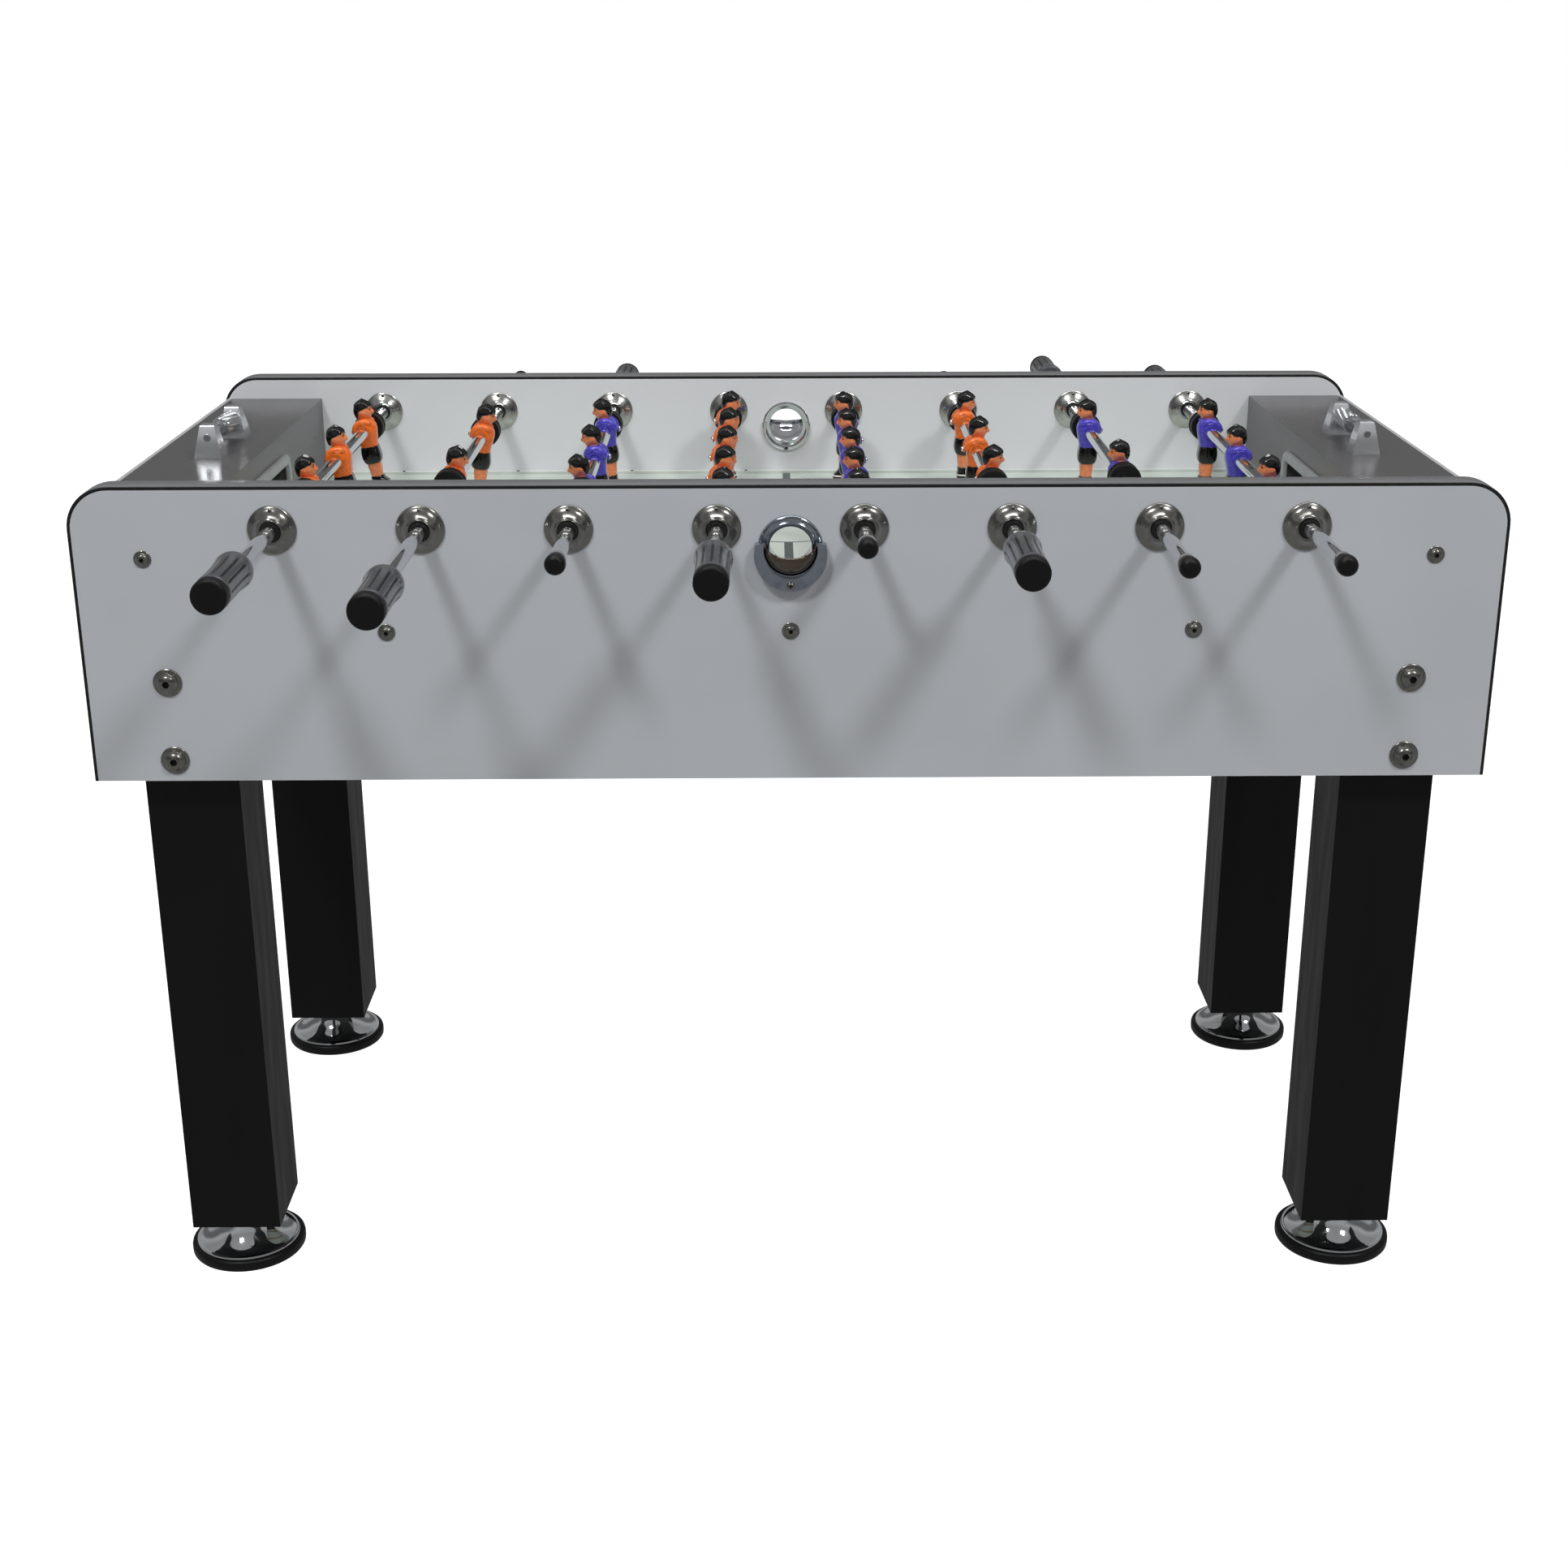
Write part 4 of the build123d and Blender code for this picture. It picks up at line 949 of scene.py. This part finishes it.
def stops():
    """Rubber bumpers beside the outermost men, and the ferrule and bulb on each rod's bare end."""
    bore, r, waist, long, from_man, tip = ROD_R + RUN, 18, 17.2, 22, 18, 28
    bumper = [(bore, 0), (15.6, 0), (waist, 0.5), (r, 2), (r, 6.2), (waist, 7.4), (waist, long - 7.4),
              (r, long - 6.2), (r, long - 2), (waist, long - 0.5), (15.6, long), (bore, long)]
    bulb = eased([(8.6, 6), (9.0, 8), (9.5, 12), (10.2, 16), (10.4, 20), (9.8, 24), (7.6, 27),
                  (4, 27.9)], 4)
    for i, name in enumerate(ROD_NAMES):
        node, side = f"{name}_bumpers", HANDLE_SIDE[i]
        ys = men_ys(i)
        build = Build()
        for s, y in ((-1, ys[0]), (1, ys[-1])):
            build.lathe(bumper, toward(ROD_X[i], y + s * from_man, ROD_Z, s), segments=64, loop=True)
        tip_start = (high(node).y - tip) if side < 0 else (low(node).y + tip)
        at = toward(ROD_X[i], tip_start, ROD_Z, -side)
        build.lathe([(0, 22.4), (bore, 22.4), (bore, 5.6)] + bulb + [(0, tip)], at, segments=48)
        build.piece(f"{name}_stops_rubber", f"{name}_stops", [RUBBER], "black_rubber", [node])
        ferrule = Build()
        ferrule.lathe([(bore, 0), (8.8, 0), (9.2, 0.5), (9.2, 5.2), (8.8, 6), (bore, 6)], at, segments=48,
                      loop=True)
        ferrule.piece(f"{name}_tip_ferrule", f"{name}_stops", [CHROME], "chrome")


# ---- stage ---------------------------------------------------
def stage():
    """A white floor, a soft room, two soft lamps above the front and a weak one over the table."""
    scene = bpy.context.scene
    build, floor_half = Build(), 14000
    build.block((-floor_half, -floor_half, -40), (floor_half, floor_half, 0), bevel=5)
    bmesh.ops.transform(build.bm, matrix=Matrix.Scale(MM, 4), verts=build.bm.verts)
    floor = bpy.data.objects.new("floor", build.mesh("floor"))
    scene.collection.objects.link(floor)
    paint = surface("floor_paint", "#c4c4c4", 0.95, spread=0.01, patch=2, grain=60, bump=0.02,
                    specular=0.02)
    shader = paint.node_tree.nodes["Principled BSDF"]
    shader.inputs["Emission Color"].default_value = (1, 1, 1, 1)
    shader.inputs["Emission Strength"].default_value = 1.0
    floor.data.materials.append(paint)
    # the floor shows white in the picture, but throws none of that light on the table
    floor.visible_diffuse = False
    floor.visible_glossy = False

    world = bpy.data.worlds.new("room")
    world.use_nodes = True
    scene.world = world
    tree = world.node_tree
    background = tree.nodes["Background"]
    place = tree.nodes.new("ShaderNodeTexCoord")
    split = tree.nodes.new("ShaderNodeSeparateXYZ")
    tree.links.new(place.outputs["Generated"], split.inputs["Vector"])
    ramp = tree.nodes.new("ShaderNodeValToRGB")
    # how bright the room is from straight below to straight above
    stops_at = [(0.0, 0.5), (0.08, 0.22), (0.3, 0.2), (0.42, 0.62), (0.6, 0.42), (1.0, 0.5)]
    elements = ramp.color_ramp.elements
    elements[0].position, elements[1].position = stops_at[0][0], stops_at[-1][0]
    for position, value in stops_at[1:-1]:
        elements.new(position).color = (value, value, value, 1)
    elements[0].color = (stops_at[0][1],) * 3 + (1,)
    elements[-1].color = (stops_at[-1][1],) * 3 + (1,)
    tree.links.new(split.outputs["Z"], ramp.inputs["Fac"])
    tree.links.new(ramp.outputs["Color"], background.inputs["Color"])
    background.inputs["Strength"].default_value = 0.62
    # the camera sees plain white behind the table, not the room
    seen = tree.nodes.new("ShaderNodeBackground")
    seen.inputs["Color"].default_value = (1, 1, 1, 1)
    seen.inputs["Strength"].default_value = 1.0
    path = tree.nodes.new("ShaderNodeLightPath")
    mix = tree.nodes.new("ShaderNodeMixShader")
    tree.links.new(path.outputs["Is Camera Ray"], mix.inputs["Fac"])
    tree.links.new(background.outputs["Background"], mix.inputs[1])
    tree.links.new(seen.outputs["Background"], mix.inputs[2])
    tree.links.new(mix.outputs["Shader"], tree.nodes["World Output"].inputs["Surface"])

    def lamp(name, place, aim, size, power):
        data = bpy.data.lights.new(name, "AREA")
        data.shape = "RECTANGLE"
        data.size, data.size_y = size
        data.energy = power
        obj = bpy.data.objects.new(name, data)
        scene.collection.objects.link(obj)
        obj.location = place
        obj.rotation_euler = (Vector(aim) - Vector(place)).to_track_quat("-Z", "Y").to_euler()

    front = -PANEL_OUT * MM
    for name, across in (("left", -2.3), ("right", 3.8)):
        lamp(f"lamp_{name}", (across, front - 4.6, 6.4), (0, front, 0.8), (1.1, 1.1), 165)
    lamp("lamp_top", (0, -0.25, 2.9), (0, 0.33, 0.85), (2.2, 0.3), 22)


def camera():
    """The photograph's viewpoint."""
    data = bpy.data.cameras.new("camera")
    data.lens, data.sensor_width = 50.25, 36
    data.shift_x = -0.0053
    data.clip_end = 100
    obj = bpy.data.objects.new("camera", data)
    bpy.context.scene.collection.objects.link(obj)
    obj.location = (-0.01743, -2.53401, 1.37957)
    down, right, roll = math.radians(19.663), math.radians(0.495), math.radians(-0.094)
    look = Vector((math.sin(right) * math.cos(down), math.cos(right) * math.cos(down), -math.sin(down)))
    across = Vector((math.cos(right), -math.sin(right), 0))
    up = across.cross(look)
    c, s = math.cos(roll), math.sin(roll)
    across, up = across * c + up * s, up * c - across * s
    obj.rotation_euler = Matrix((across, up, -look)).transposed().to_euler()
    bpy.context.scene.camera = obj


camera()
stage()
edging()
goal_rims()
field_lines()
field_strips()
end_strips()
legs()
feet()
flanges()
ball_entries()
bolts()
score_posts()
score_beads()
men()
tubes()
handles()
stops()
bpy.context.scene.view_settings.view_transform = "Standard"

bpy.context.view_layer.update()
